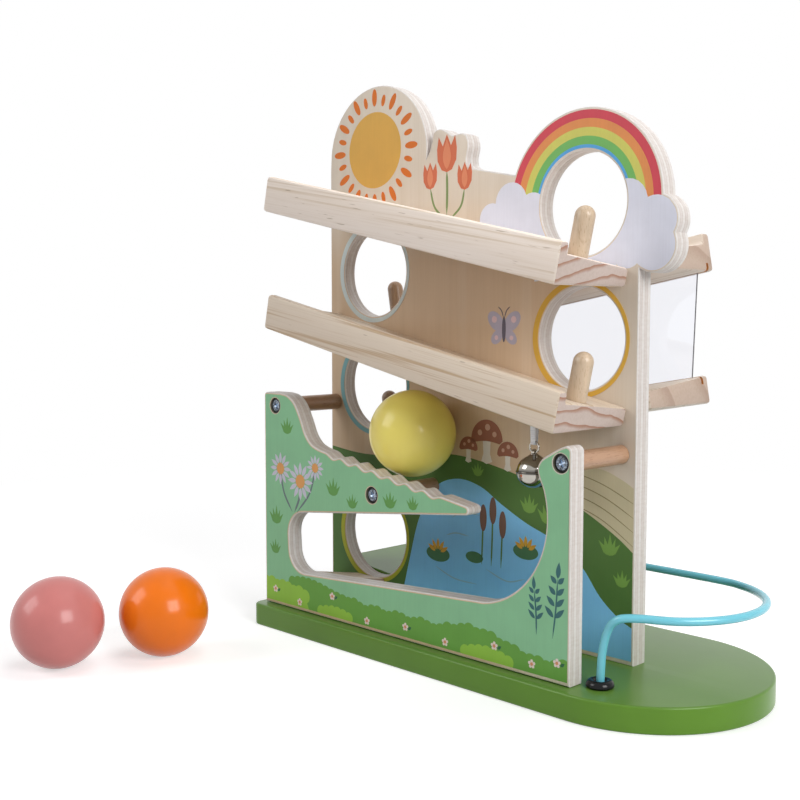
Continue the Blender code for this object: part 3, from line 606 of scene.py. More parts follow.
# Rainbow, cloud and ring prints: five even stripes round the upper right hole, a plain scalloped cloud
# whose right bumps follow the sawn edge, and a narrow coloured ring round each of the other four holes.
RAINBOW = (178.0, 214.2)
STRIPE_EDGES = [42.7, 38.7, 34.7, 30.7, 26.8, 24.0]
STRIPES = [("red", (214, 78, 92)), ("orange", (231, 150, 90)), ("yellow", (214, 211, 108)),
           ("green", (119, 187, 103)), ("blue", (92, 170, 230))]
CLOUD = (226, 229, 244)
RINGS = [("grey", (36.1, 185.7), (214, 226, 226)), ("teal", (36.1, 122.4), (128, 174, 180)),
         ("lime", (36.1, 38.1), (186, 188, 62)), ("yellow", (177.4, 150.6), (224, 178, 74))]


def scallops(bumps, start, end):
    """An outline clockwise over a row of round bumps (x, z, radius), from start to end."""
    meets = []
    for (x0, z0, r0), (x1, z1, r1) in zip(bumps, bumps[1:]):
        gap = math.hypot(x1 - x0, z1 - z0)
        along = (r0 ** 2 - r1 ** 2 + gap ** 2) / (2 * gap)
        off = math.sqrt(max(0.0, r0 ** 2 - along ** 2))
        ux, uz = (x1 - x0) / gap, (z1 - z0) / gap
        meets.append((x0 + along * ux - off * uz, z0 + along * uz + off * ux))
    points = [start]
    for (x, z, radius), first, last in zip(bumps, [start, *meets], [*meets, end]):
        from_angle = math.degrees(math.atan2(first[1] - z, first[0] - x))
        to_angle = math.degrees(math.atan2(last[1] - z, last[0] - x))
        if to_angle > from_angle:
            to_angle -= 360.0
        points += arc(x, z, radius, from_angle, to_angle, 10)[0 if first == start else 1:]
    return points + [end]


for (name, colour), outer, inner in zip(STRIPES, STRIPE_EDGES, STRIPE_EDGES[1:]):
    stripe = arc(*RAINBOW, outer, -8, 188, 60) + arc(*RAINBOW, inner, 188, -8, 60)
    lay_print("rainbow_" + name, "main", 0, [stripe], colour, trim=True)
left_cloud_bumps = [(122.5, 209.8, 8.0), (135.0, 217.2, 10.0), (148.5, 212.2, 9.0)]
right_cloud_bumps = [(203.0, 212.6, 10.8), (217.8, 204.0, 11.0), (216.8, 192.9, 11.4), (203.0, 191.0, 8.2)]
cloud_left = scallops(left_cloud_bumps, (112.0, 205.0), (160.0, 211.0)) + [(160.0, 182.0), (112.0, 190.0)]
cloud_right = scallops(right_cloud_bumps, (190.0, 214.0), (196.0, 183.0))
cloud_right += [(150.0, 178.0), (150.0, 190.0), (190.0, 196.0)]
lay_print("cloud_left", "main", 1, [cloud_left], CLOUD, trim=True)
lay_print("cloud_right", "main", 1, [cloud_right], CLOUD, trim=True)
for name, centre, colour in RINGS:
    lay_print("ring_" + name, "main", 5, [oval(*centre, 28.0, steps=72)], colour, trim=True)


# Landscape print: a tan field with furrows, a dark green hill with grass tufts and a blue pond with
# ripples, laid one over another across the foot of the main panel.
def smooth(knots, steps=6):
    """Points of a smooth curve through the knots."""
    knots = [Vector(k) for k in knots]
    padded = [2 * knots[0] - knots[1], *knots, 2 * knots[-1] - knots[-2]]
    points = []
    for a, b, c, d in zip(padded, padded[1:], padded[2:], padded[3:]):
        for t in [i / steps for i in range(steps)]:
            points.append(0.5 * (2 * b + (c - a) * t + (2 * a - 5 * b + 4 * c - d) * t ** 2
                                 + (3 * b - a - 3 * c + d) * t ** 3))
    return [tuple(p) for p in points] + [tuple(knots[-1])]


def stroke(knots, wide):
    """A brush line along a smooth curve, thinning to its ends."""
    line = [Vector(p) for p in smooth(knots)]
    left, right = [], []
    for i, here in enumerate(line):
        way = (line[min(i + 1, len(line) - 1)] - line[max(i - 1, 0)]).normalized()
        half = wide / 2 * max(0.12, min(1.0, 6 * i / len(line), 6 * (len(line) - 1 - i) / len(line)))
        left.append(here + Vector((-way.y, way.x)) * half)
        right.append(here - Vector((-way.y, way.x)) * half)
    return [tuple(p) for p in right + left[::-1]]


def tuft(x, z, high):
    """A tuft of five grass blades."""
    blades = [(-0.34, 0.08), (-0.62, 0.62), (-0.3, 0.4), (-0.3, 0.82), (-0.1, 0.46), (0.02, 1.0),
              (0.14, 0.46), (0.33, 0.8), (0.3, 0.38), (0.6, 0.58), (0.34, 0.08), (0.2, 0.0), (0.0, -0.04),
              (-0.2, 0.0)]
    return [(x + px * high, z + pz * high) for px, pz in blades]


hill_line = smooth([(-4, 86), (28, 83), (62, 85), (98, 88.5), (136, 83), (170, 73.5), (198, 60), (216, 47)])
field_line = smooth([(148, 78), (166, 86.5), (187, 90), (202, 86), (216, 78)])
pond_line = smooth([(56, -4), (64, 26), (72, 52), (84, 70), (100, 76), (116, 73.5), (130, 66), (146, 58.5),
                    (164, 52), (180, 42), (191, 29), (203, 20), (216, 15)])
furrows = [[(160, 88.5 - 5.2 * n), (176, 86.5 - 5.2 * n), (193, 82.2 - 5.7 * n), (213, 73.5 - 6.9 * n)]
           for n in range(5)]
ripples = [[(96, 55), (104, 58.5), (116, 58.5)], [(84, 27), (98, 22.5), (114, 22)],
           [(120, 31), (134, 27), (146, 30)], [(150, 27), (158, 30), (168, 29)],
           [(92, 45), (99, 47), (108, 46.5)]]
hill_tufts = [(148, 64, 9.5), (160, 60, 11), (196, 50, 10), (114, 79, 7), (203, 36, 8)]
lay_print("field", "main", 0, [field_line + [(216, 40), (148, 40)]], (209, 198, 164), trim=True)
lay_print("furrows", "main", 1, [stroke(line, 0.45) for line in furrows], (150, 138, 100), trim=True)
lay_print("hill", "main", 2, [hill_line + [(216, -4), (-4, -4)]], (86, 122, 62), trim=True)
lay_print("pond", "main", 3, [pond_line + [(216, -4)]], (138, 207, 255), trim=True)
lay_print("ripples", "main", 4, [stroke(line, 0.7) for line in ripples], (146, 188, 212))
lay_print("hill_tufts", "main", 4, [tuft(*spot) for spot in hill_tufts], (124, 166, 80), trim=True)

# Pond plant prints: lily pads with yellow flowers, and a stand of brown bulrushes, in ink over the pond and
# the hill.
PADS = [(86.0, 34.0, 8.5), (146.0, 44.0, 8.0), (112.0, 36.0, 6.0)]
RUSHES = [(118.0, 62.0), (124.5, 66.5), (131.0, 60.0)]


def leaf(root, tip, wide, steps=10):
    """A pointed leaf from its root to its tip."""
    root, tip = Vector(root), Vector(tip)
    side = Vector((-(tip - root).y, (tip - root).x)).normalized() * wide / 2
    swell = [math.sin(math.pi * (i / steps) ** 0.8) for i in range(1, steps)]
    up = [root + (tip - root) * (i / steps) + side * swell[i - 1] for i in range(1, steps)]
    down = [root + (tip - root) * (i / steps) - side * swell[i - 1] for i in range(1, steps)]
    return [tuple(p) for p in [root, *down, tip, *reversed(up)]]


def petal(heart, way, start, end, wide):
    """A petal that points away from a flower's heart in a direction, between two distances."""
    return leaf(Vector(heart) + start * towards(way), Vector(heart) + end * towards(way), wide)


lily_petals = [petal((x, z), way, 2.4, r, 2.2) for x, z, r in PADS[:2] for way in (148, 120, 90, 60, 32)]
lay_print("lily_pads", "main", 4, [oval(x, z, r, r * 0.5) for x, z, r in PADS], (74, 122, 84))
lay_print("lilies", "main", 5, lily_petals, (222, 170, 60))
lay_print("rush_stems", "main", 4, [stroke([(x - 1, 33), (x - 0.4, 48), (x, top)], 1.0) for x, top in RUSHES],
          (92, 128, 70))
lay_print("rush_heads", "main", 5, [oval(x, top - 4.5, 2.3, 7.0) for x, top in RUSHES], (122, 92, 78))

# Tulip, butterfly and mushroom prints: small pictures in warm browns and greys on the bare veneer of the
# main panel, each built up from three inks.
TULIPS = [(91.5, 236.0, 1.0), (79.5, 228.0, 0.72), (104.0, 226.0, 0.72)]
TULIP_CUP = [(-6.6, 6.0), (-7.0, 12.0), (-5.8, 18.5), (-2.9, 13.5), (0.0, 19.5), (2.9, 13.5), (5.8, 18.5),
             (7.0, 12.0), (6.6, 6.0), (3.6, 1.2), (0.0, 0.0), (-3.6, 1.2)]
WING = (188, 182, 200)
BUTTERFLY = (104, 98, 112)
MUSHROOMS = [(120.0, 87.0, 1.0), (134.0, 84.0, 0.66), (107.5, 86.0, 0.6)]
MUSHROOM_CAP = arc(0.0, 11.0, 10.5, 180, 0, 18) + [(8.6, 9.4), (4.0, 10.2), (0.0, 10.5), (-4.0, 10.2),
                                                   (-8.6, 9.4)]
MUSHROOM_STEM = [(-2.6, 11.0), (-2.2, 4.0), (-3.6, 0.0), (0.0, -1.4), (3.6, 0.0), (2.2, 4.0), (2.6, 11.0)]
MUSHROOM_SPOTS = [(-4.6, 14.6, 1.5), (0.6, 17.6, 1.7), (5.2, 14.2, 1.4)]


def repeated(outline, places):
    """The same outline at several places (x, z, size)."""
    return [[(x + px * size, z + pz * size) for px, pz in outline] for x, z, size in places]


lay_print("tulip_stems", "main", 0, [stroke([(91.5, 214), (91.8, 226), (91.5, 237)], 1.5),
                                     stroke([(88.5, 213), (82.5, 219), (79.5, 229)], 1.2),
                                     stroke([(94.5, 212), (101.5, 218), (104, 227)], 1.2)], (128, 150, 92))
lay_print("tulips", "main", 1, repeated(TULIP_CUP, TULIPS), (214, 116, 82))
lay_print("tulip_petals", "main", 2, repeated(leaf((0.0, 1.5), (0.0, 17.0), 5.6), TULIPS), (228, 142, 104))
lay_print("upper_wings", "main", 0, [oval(125.6, 158.6, 6.2, 4.0, 138),
                                     oval(136.2, 158.6, 6.2, 4.0, 42)], WING)
lay_print("lower_wings", "main", 1, [oval(126.4, 150.8, 4.4, 3.0, 222),
                                     oval(135.4, 150.8, 4.4, 3.0, -42)], WING)
lay_print("wing_spots", "main", 2, [oval(124.6, 159.6, 1.7), oval(137.2, 159.6, 1.7), oval(126.0, 150.4, 1.2),
                                    oval(135.8, 150.4, 1.2)], (228, 200, 204))
lay_print("feelers", "main", 2, [stroke([(131.2, 160.5), (132.6, 164), (134.8, 166)], 0.5),
                                 stroke([(130.6, 160.5), (129.2, 164), (127.0, 166)], 0.5)], BUTTERFLY)
lay_print("butterfly_body", "main", 3, [oval(130.9, 154.6, 1.2, 6.4)], BUTTERFLY)
lay_print("mushroom_stems", "main", 3, repeated(MUSHROOM_STEM, MUSHROOMS), (234, 226, 214))
lay_print("mushroom_caps", "main", 4, repeated(MUSHROOM_CAP, MUSHROOMS), (158, 104, 84))
mushroom_spots = [oval(x + px * size, z + pz * size, r * size)
                  for x, z, size in MUSHROOMS for px, pz, r in MUSHROOM_SPOTS]
lay_print("mushroom_spots", "main", 5, mushroom_spots, (206, 164, 142))

# Front panel prints: a mint ground over the whole front, scalloped hedges along the foot, grass tufts,
# daisies, small flowers and two leafy sprigs, each a flat ink over the last.
FRONT_TUFTS = [(20, 97, 9.0), (10, 46, 10.0), (58, 67, 9.5), (73, 62, 7.5), (101, 65.5, 8.5),
               (117, 66.5, 7.0), (9, 29, 8.0)]
DAISIES = [(14.0, 77.0, 9.0), (31.0, 71.5, 10.5), (43.5, 80.0, 7.0)]
SMALL_FLOWERS = [(9, 8.6), (30, 4.6), (57, 12.6), (84, 4.6), (112, 7.0), (139, 5.0), (170, 9.6), (192, 6.0),
                 (206, 9.4)]
SPRIGS = [((194.5, 20.0), (193.0, 40.0), 0.8), ((203.5, 20.0), (206.0, 47.0), 1.0)]
SPRIG = (62, 108, 112)
add_print("mint", ink_field("print_mint", "front", INK, 2 * INK), (144, 200, 156))
hedge_bumps = [(24 + 4.6 * n, 13.6 + 2.2 * math.sin(0.5 + 0.42 * n), 3.6) for n in range(10)]
hedge_bumps += [(70 + 4.4 * n, 11.5 - 1.2 * min(1.0, n / 3) + 0.8 * math.sin(1.7 * n), 3.2)
                for n in range(15)]
hedge_bumps += [(136 + 4.6 * n, 10.0 + 3.4 * math.sin(math.pi * n / 9) + 0.7 * math.sin(2.1 * n), 3.5)
                for n in range(18)]
lay_print("hedge_dark", "front", 1, [scallops(hedge_bumps, (20, -3), (220, -3))], (108, 165, 72), trim=True)
left_bumps = [(1 + 4.8 * n, 11.2 - 0.05 * n * n + 0.6 * math.sin(2.3 * n), 3.9) for n in range(8)]
mid_bumps = [(48 + 4.4 * n, 3.0 + 1.6 * math.sin(0.6 * n), 3.2) for n in range(6)]
end_bumps = [(152 + 4.4 * n, 3.4 + 2.2 * math.sin(0.5 * n), 3.2) for n in range(7)]
lay_print("hedge_light", "front", 2, [scallops(left_bumps, (-3, -3), (40, -3)),
                                      scallops(mid_bumps, (44, -3), (74, -3)),
                                      scallops(end_bumps, (148, -3), (183, -3))], (151, 200, 76), trim=True)
lay_print("front_tufts", "front", 1, [tuft(*spot) for spot in FRONT_TUFTS], (104, 160, 86))

daisy_petals = [petal((x, z), way, 0.34 * reach, reach, 0.25 * reach)
                for x, z, reach in DAISIES for way in range(0, 360, 30)]
lay_print("daisy_stems", "front", 1, [stroke([(24, 54), (17, 64), (14, 76)], 1.2),
                                      stroke([(26, 54), (30, 62), (31, 71)], 1.4),
                                      stroke([(28, 54), (39, 66), (43.5, 79)], 1.1)], (112, 124, 130))
lay_print("daisies", "front", 2, daisy_petals, (208, 206, 222))
lay_print("daisy_hearts", "front", 3, [oval(x, z, 0.36 * reach) for x, z, reach in DAISIES], (226, 164, 100))

flower_petals = [oval(*(Vector(spot) + 1.35 * towards(72 * n + 18)), 0.76, steps=14)
                 for spot in SMALL_FLOWERS for n in range(5)]
flower_leaves = [leaf((x + 2.0, z - 1.0), (x + 4.2, z + 0.6), 1.5) for x, z in SMALL_FLOWERS[::2]]
lay_print("flower_petals", "front", 3, flower_petals, (240, 220, 214))
lay_print("flower_hearts", "front", 4, [oval(x, z, 0.8, steps=14) for x, z in SMALL_FLOWERS], (222, 150, 110))
lay_print("flower_leaves", "front", 3, flower_leaves, (52, 104, 72))

sprig_leaves, sprig_stalks = [], []
for foot, top, size in SPRIGS:
    stalk = Vector(top) - Vector(foot)
    bend = (Vector(top) + Vector(foot)) / 2 + Vector((0.4, 0.0))
    sprig_stalks.append(stroke([foot, bend, top], 0.8))
    sprig_leaves.append(leaf(top, Vector(top) + stalk.normalized() * 7.5 * size, 2.6 * size))
    for number in range(4):
        at = Vector(foot) + stalk * (0.34 + 0.19 * number)
        for side in (-1, 1):
            reach = Vector((side * 5.4, 4.8)) * size * (1.0 - 0.1 * number)
            sprig_leaves.append(leaf(at + Vector((side * 0.5, 0.2)), at + reach, 2.4 * size))
lay_print("sprig_leaves", "front", 1, sprig_leaves, SPRIG)
lay_print("sprig_stalks", "front", 2, sprig_stalks, SPRIG)

# Tracks and guide wedge: pine planed to a leaning floor with a lip, cut off square and sanded. The growth
# rings run along the lip as faint lines and cross the pinkish end grain; the saw cuts for the pane are
# scorched brown.
FLAT_AREA = 0.0008
FRONT_FALL = -math.radians(12.5)
BACK_FALL = math.radians(10.2)
FRONT_ENDS = (tint(196, 179, 170), tint(161, 119, 97))
BACK_ENDS = (tint(190, 169, 153), tint(172, 148, 131))
front_up = Vector((-math.sin(FRONT_FALL), 0.0, math.cos(FRONT_FALL)))
back_up = Vector((-math.sin(BACK_FALL), 0.0, math.cos(BACK_FALL)))


def along_grain(tree, turn, pith):
    """Place on the piece with X along the grain, measured from the tree's pith."""
    values = {"Vector": place_on(tree), "Rotation": turn, "Location": pith}
    return add_node(tree, "ShaderNodeMapping", values).outputs[0]


def pine_finish(name, slope, pith, ring, early, late, end_early, end_late):
    """Pine cut along a track that falls by slope, with growth rings of a given width about the pith."""
    finish, tree, shader = new_finish(name)
    grain = along_grain(tree, (0.0, 0.84 * slope, 0.0), pith)
    lines = texture(tree, (4.5, 330.0, 330.0), 3.0, grain, 0.6)
    clouds = texture(tree, (5.0, 46.0, 46.0), 2.0, grain)
    fibres = texture(tree, (26.0, 1500.0, 1500.0), 2.0, grain)
    flecks = texture(tree, (85.0, 1150.0, 1150.0), 1.0, grain)
    side = ramp(tree, lines, [(0.34, late), (0.42, early), (0.58, early), (0.66, late)])
    side = darkened(tree, side, clouds, [(0.3, (0.93, 0.9, 0.86)), (0.6, WHITE)], 0.8)
    side = darkened(tree, side, fibres, [(0.28, (0.9, 0.87, 0.83)), (0.55, WHITE)], 0.6)
    side = darkened(tree, side, flecks, [(0.22, (0.5, 0.42, 0.34)), (0.28, WHITE)], 0.8)

    drawn = add_node(tree, "ShaderNodeMapping", {"Vector": grain, "Scale": (0.10, 1.0, 1.0)}).outputs[0]
    values = {"Vector": drawn, "Scale": 2 * math.pi / (20 * ring), "Distortion": 2.6, "Detail": 1.5,
              "Detail Scale": 1.4}
    rings = add_node(tree, "ShaderNodeTexWave", values, wave_type="RINGS", rings_direction="X",
                     wave_profile="SAW").outputs["Fac"]
    pores = texture(tree, (900.0,) * 3, 3.0, grain)
    end = ramp(tree, rings, [(0.0, end_late), (0.03, end_early), (0.7, shade(end_early, 0.97)),
                             (0.94, end_late)])
    end = darkened(tree, end, pores, [(0.35, (0.93, 0.91, 0.89)), (0.6, WHITE)], 0.8)

    endwise = vector_calc(tree, "DOT_PRODUCT", facing(tree), (math.cos(slope), 0.0, math.sin(slope)))
    on_end = ranged(tree, calc(tree, "ABSOLUTE", endwise), 0.55, 0.8)
    fill(tree, shader, {"Base Color": mixed(tree, on_end, side, end),
                        "Roughness": spread(tree, fibres, 0.46, 0.56),
                        "Normal": relief(tree, fibres, 0.00003)})
    return finish


def scorch(finish, node, up, deep, from_above):
    """Brown the saw cut that holds the pane, deep metres up from the underside of a back track."""
    tree = finish.node_tree
    place = place_on(tree)
    underside = min(v.co.dot(up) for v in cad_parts[node].data.vertices)
    pane_low, pane_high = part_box("window_pane")
    across = calc(tree, "SUBTRACT", axis_part(tree, place, "Y"), (pane_low.y + pane_high.y) / 2)
    in_kerf = calc(tree, "LESS_THAN", calc(tree, "ABSOLUTE", across), (pane_high.y - pane_low.y) / 2 + 0.0004)
    height = vector_calc(tree, "DOT_PRODUCT", place, up)
    in_cut = calc(tree, "GREATER_THAN" if from_above else "LESS_THAN", height, underside + deep)
    burnt = calc(tree, "MULTIPLY", in_kerf, in_cut)
    recolour(finish, mixed(tree, burnt, colour_of(finish), tint(196, 132, 76)))


def add_planed(node, finish):
    """A CAD piece with its rounded edges shaded as curves and its wide faces kept flat."""
    solid = bmesh.new()
    solid.from_mesh(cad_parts[node].data)
    bmesh.ops.remove_doubles(solid, verts=solid.verts, dist=1e-6)
    solid.verts.index_update()
    sides = {}
    for face in solid.faces:
        sides.setdefault(tuple(round(share, 1) for share in face.normal), []).append(face)
    mesh = bpy.data.meshes.new(node + "_planed")
    mesh.from_pydata([v.co[:] for v in solid.verts], [], [[v.index for v in f.verts] for f in solid.faces])
    wide = {f.index for faces in sides.values() if sum(f.calc_area() for f in faces) > FLAT_AREA
            for f in faces}
    solid.free()
    mesh.polygons.foreach_set("use_smooth", [number not in wide for number in range(len(mesh.polygons))])
    mesh.set_sharp_from_angle(angle=math.radians(40))
    add_piece(node + "_planed", mesh, finish, nodes=[node])


# The upper track's pine is paler than the lower's: painted light, for the upper lip that stands brighter.
add_planed("front_upper_track", pine_finish("pine_front_upper", FRONT_FALL, (0.0, 0.012, -0.070), 0.0060,
                                            tint(250, 237, 226), tint(230, 212, 192), *FRONT_ENDS))
add_planed("front_lower_track", pine_finish("pine_front_lower", FRONT_FALL, (0.0, 0.055, -0.020), 0.0066,
                                            tint(229, 213, 194), tint(200, 173, 141), *FRONT_ENDS))
dress("guide_wedge", pine_finish("pine_wedge", 0.0, (0.0, 0.024, 0.020), 0.0070,
                                 tint(228, 213, 196), tint(204, 184, 160), *FRONT_ENDS))
for node, pith, deep, from_above in (("back_upper_track", (0.0, -0.010, -0.090), 0.0039, False),
                                     ("back_lower_track", (0.0, 0.060, -0.060), 0.0096, True)):
    back_pine = pine_finish("pine_" + node, BACK_FALL, pith, 0.0260,
                            tint(230, 217, 204), tint(206, 188, 168), *BACK_ENDS)
    scorch(back_pine, node, back_up, deep, from_above)
    add_planed(node, back_pine)


# Stop pegs, spacer dowels, track pins and ribbon plug: turned beech, oiled. The pegs are domed and glued
# into the tracks; the dowels stand square between the panels.
def round_off(mesh, angle=35):
    """Shade a mesh as curves, with creases sharper than an angle kept."""
    mesh.shade_smooth()
    mesh.set_sharp_from_angle(angle=math.radians(angle))
    return mesh


def turned_mesh(name, profile, steps, matrix):
    """A turned shape about +Z, put in place by a matrix, from (radius, height) points down its outer side."""
    verts, rows, faces = [], [], []
    for radius, height in profile:
        count = steps if radius > 1e-7 else 1
        rows.append([len(verts) + i for i in range(count)])
        turns = [2 * math.pi * i / steps for i in range(count)]
        verts += [(radius * math.cos(a), radius * math.sin(a), height) for a in turns]
    for upper, lower in zip(rows, rows[1:]):
        for i in range(steps):
            j = (i + 1) % steps
            corners = [row[k % len(row)] for row, k in ((upper, i), (lower, i), (lower, j), (upper, j))]
            faces.append(list(dict.fromkeys(corners)))
    mesh = bpy.data.meshes.new(name)
    mesh.from_pydata(verts, [], [face for face in faces if len(face) > 2])
    mesh.transform(matrix)
    return round_off(mesh)


def aim(origin, direction):
    """A placing matrix whose local +Z points along a direction."""
    matrix = Vector(direction).to_track_quat("Z", "Y").to_matrix().to_4x4()
    matrix.translation = Vector(origin)
    return matrix


def shaft(node, way):
    """Foot, length and radius of a round CAD piece that stands along a direction."""
    way = Vector(way).normalized()
    across = way.orthogonal().normalized()
    axes = (across, way.cross(across), way)
    spots = [v.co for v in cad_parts[node].data.vertices]
    spans = [(min(spot.dot(axis) for spot in spots), max(spot.dot(axis) for spot in spots)) for axis in axes]
    foot = axes[0] * sum(spans[0]) / 2 + axes[1] * sum(spans[1]) / 2 + way * spans[2][0]
    return foot, spans[2][1] - spans[2][0], max(high - low for low, high in spans[:2]) / 2


def beech_finish(name, turn, colour):
    """Beech with short brown flecks along the grain; turn brings the grain to X."""
    finish, tree, shader = new_finish(name)
    grain = along_grain(tree, turn, (0.0, 0.0, 0.0))
    bands = texture(tree, (14.0, 260.0, 260.0), 3.0, grain)
    flecks = texture(tree, (260.0, 2100.0, 2100.0), 1.0, grain)
    body = ramp(tree, bands, [(0.3, shade(colour, 0.84)), (0.7, shade(colour, 1.07))])
    body = darkened(tree, body, flecks, [(0.27, (0.72, 0.62, 0.53)), (0.42, WHITE)], 0.75)
    fill(tree, shader, {"Base Color": body, "Roughness": 0.4, "Coat Weight": 0.3, "Coat Roughness": 0.22,
                        "Normal": relief(tree, bands, 0.00002)})
    return finish


front_beech = beech_finish("beech_front_peg", (0.0, QUARTER, 0.0), tint(206, 182, 154))
# The back pegs' beech is much darker than the front pegs': painted shade, for pegs that stand behind the main
# panel.
shaded_back_beech = beech_finish("beech_back_peg_shaded", (0.0, QUARTER, 0.0), tint(150, 118, 88))
dowel_beech = beech_finish("beech_dowel", (0.0, 0.0, -QUARTER), tint(179, 140, 110))
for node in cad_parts:
    if node.startswith("stop_peg"):
        peg_up, peg_beech = (front_up, front_beech) if "front" in node else (back_up, shaded_back_beech)
        foot, tall, radius = shaft(node, peg_up)
        dome = arc(0.0, tall - radius, radius, 90, 0, 9)
        peg_profile = dome + [(radius, 0.0004), (radius - 0.0004, 0.0), (0.0, 0.0)]
        peg = turned_mesh(node, peg_profile, 40, aim(foot, peg_up))
        add_piece(node.replace("stop_", "turned_"), peg, peg_beech, nodes=[node])
    elif node.startswith(("track_pin", "spacer_dowel", "ribbon_plug")):
        dress(node, dowel_beech)

# Window pane: clear acrylic, little over 1 mm thick, slid into the saw cuts of the two back tracks. Its
# sawn edges are matt.
clear_acrylic, acrylic_tree, acrylic = new_finish("clear_acrylic")
haze = spread(acrylic_tree, texture(acrylic_tree, (30.0,) * 3), 0.01, 0.03)
on_pane = calc(acrylic_tree, "ABSOLUTE", axis_part(acrylic_tree, facing(acrylic_tree), "Y"))
fill(acrylic_tree, acrylic, {"Base Color": (0.93, 0.937, 0.98, 1.0), "Transmission Weight": 1.0, "IOR": 1.49,
                             "Roughness": ranged(acrylic_tree, on_pane, 0.2, 0.8, 0.5, haze)})
dress("window_pane", clear_acrylic)

# Panel screws and base screws: black steel with a pressed cross in the head, bright where the black coat is
# worn. The domed heads are sunk in the front panel; the countersunk ones are driven up through the base.
SCREW_CORE = 0.0016
HEAD_TALL = 0.0016
HEAD_DOME = 0.0004
HEAD_SPREAD = 0.0005
WORN_DEPTH = 0.0006
WORN_REACH = 0.0030


def cross_mesh(reach, wide, deep):
    """A plus-shaped punch about +Z that tapers downwards from a little above the origin."""
    h = wide / 2
    plus = [(reach, -h), (reach, h), (h, h), (h, reach), (-h, reach), (-h, h), (-reach, h), (-reach, -h),
            (-h, -h), (-h, -reach), (h, -reach), (h, -h)]
    count = len(plus)
    verts = [(x, y, 0.001) for x, y in plus] + [(0.5 * x, 0.5 * y, -deep) for x, y in plus]
    walls = [(i, i + count, (i + 1) % count + count, (i + 1) % count) for i in range(count)]
    mesh = bpy.data.meshes.new("cross")
    mesh.from_pydata(verts, [], walls + [tuple(range(count)), tuple(reversed(range(count, 2 * count)))])
    return mesh


def steel_finish(name, top, way):
    """Blackened steel, worn to bluish metal in the cross; top is the middle of the head."""
    finish = paint_finish(name, tint(16, 18, 22), 0.4, 0.0, 0.3)
    tree = finish.node_tree
    off = vector_calc(tree, "SUBTRACT", place_on(tree), top)
    deep = vector_calc(tree, "DOT_PRODUCT", off, -way)
    worn = calc(tree, "MULTIPLY_ADD", calc(tree, "GREATER_THAN", deep, WORN_DEPTH), 0.75, -0.15)
    patches = spread(tree, texture(tree, (1300.0,) * 3), 0.0, 0.9)
    worn = add_node(tree, "ShaderNodeMath", {0: worn, 1: patches}, operation="ADD", use_clamp=True).outputs[0]
    on_head = calc(tree, "LESS_THAN", vector_calc(tree, "LENGTH", off), WORN_REACH)
    worn = calc(tree, "MULTIPLY", worn, on_head)
    recolour(finish, mixed(tree, worn, colour_of(finish), tint(206, 222, 240)))
    fill(tree, tree.nodes["Principled BSDF"], {"Metallic": worn})
    return finish


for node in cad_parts:
    if node.startswith(("spacer_screw", "base_screw")):
        panned = node.startswith("spacer_screw")
        way = Vector((0.0, -1.0, 0.0)) if panned else Vector((0.0, 0.0, -1.0))
        foot, tall, radius = shaft(node, way)
        if panned:
            radius += HEAD_SPREAD
            neck = tall - HEAD_TALL
            head = [(radius * t, tall - HEAD_DOME * t * t) for t in (0.0, 0.2, 0.4, 0.6, 0.75, 0.88)]
            head += [(radius * 0.96, tall - 0.00045), (radius, tall - 2 * HEAD_DOME), (radius, neck)]
        else:
            neck = tall - radius
            head = [(0.0, tall), (radius, tall), (radius, tall - 0.0007)]
        profile = head + [(SCREW_CORE, neck), (SCREW_CORE, 0.003), (0.0, 0.0)]
        screw = turned_mesh(node, profile, 40, aim(foot, way))
        top = foot + way * tall
        cross = cross_mesh(0.0025, 0.0014, 0.0014)
        cross.transform(aim(top, way) @ Matrix.Rotation(0.4 if panned else 0.0, 4, "Z"))
        add_piece(node + "_turned", round_off(carved(screw, [cross], "DIFFERENCE")),
                  steel_finish("steel_" + node, top, way), nodes=[node])

# Wire rail and grommets: steel wire bent over formers and dipped in turquoise plastic, its ends pressed
# into the base and the back ramp through domed black plastic grommets.
BASE_TOP = 0.012
RAIL_Z = BASE_TOP + 0.033
WIRE = 0.00185
LOOP = (0.0883, 0.0047, 0.0452)
GROMMET_BORE = 0.00195
rail_back = LOOP[1] + LOOP[2]
front_leg = [(0.0857, BASE_TOP - 0.008), (0.0859, BASE_TOP + 0.004), (0.0868, BASE_TOP + 0.0165),
             (0.0896, BASE_TOP + 0.0262), (0.0945, BASE_TOP + 0.0315)]
back_leg = [(-0.0985, RAIL_Z), (-0.1075, RAIL_Z - 0.0018), (-0.1119, RAIL_Z - 0.0072),
            (-0.1127, BASE_TOP + 0.018), (-0.1127, BASE_TOP - 0.008)]
rail_knots = [(x, -0.0412, z) for x, z in front_leg]
rail_knots += [(x, y, RAIL_Z) for x, y in arc(*LOOP, -72, 90, 8)]
rail_knots += [(x, rail_back, RAIL_Z) for x in (0.04, -0.03, -0.085)]
rail_knots += [(x, rail_back, z) for x, z in back_leg]
rail_points = smooth(rail_knots, 8)
rail_curve = bpy.data.curves.new("rail", "CURVE")
rail_curve.dimensions = "3D"
rail_curve.bevel_depth = WIRE
rail_curve.bevel_resolution = 8
rail_curve.use_fill_caps = True
rail_spline = rail_curve.splines.new("POLY")
rail_spline.points.add(len(rail_points) - 1)
for spot, place in zip(rail_spline.points, rail_points):
    spot.co = (*place, 1.0)
rail = bpy.data.objects.new("rail", rail_curve)
scene.collection.objects.link(rail)
blue_wire = paint_finish("blue_wire", tint(112, 200, 218), 0.26, 0.4)
add_piece("wire_rail_bent", round_off(applied(rail), 40), blue_wire, nodes=["wire_rail"])

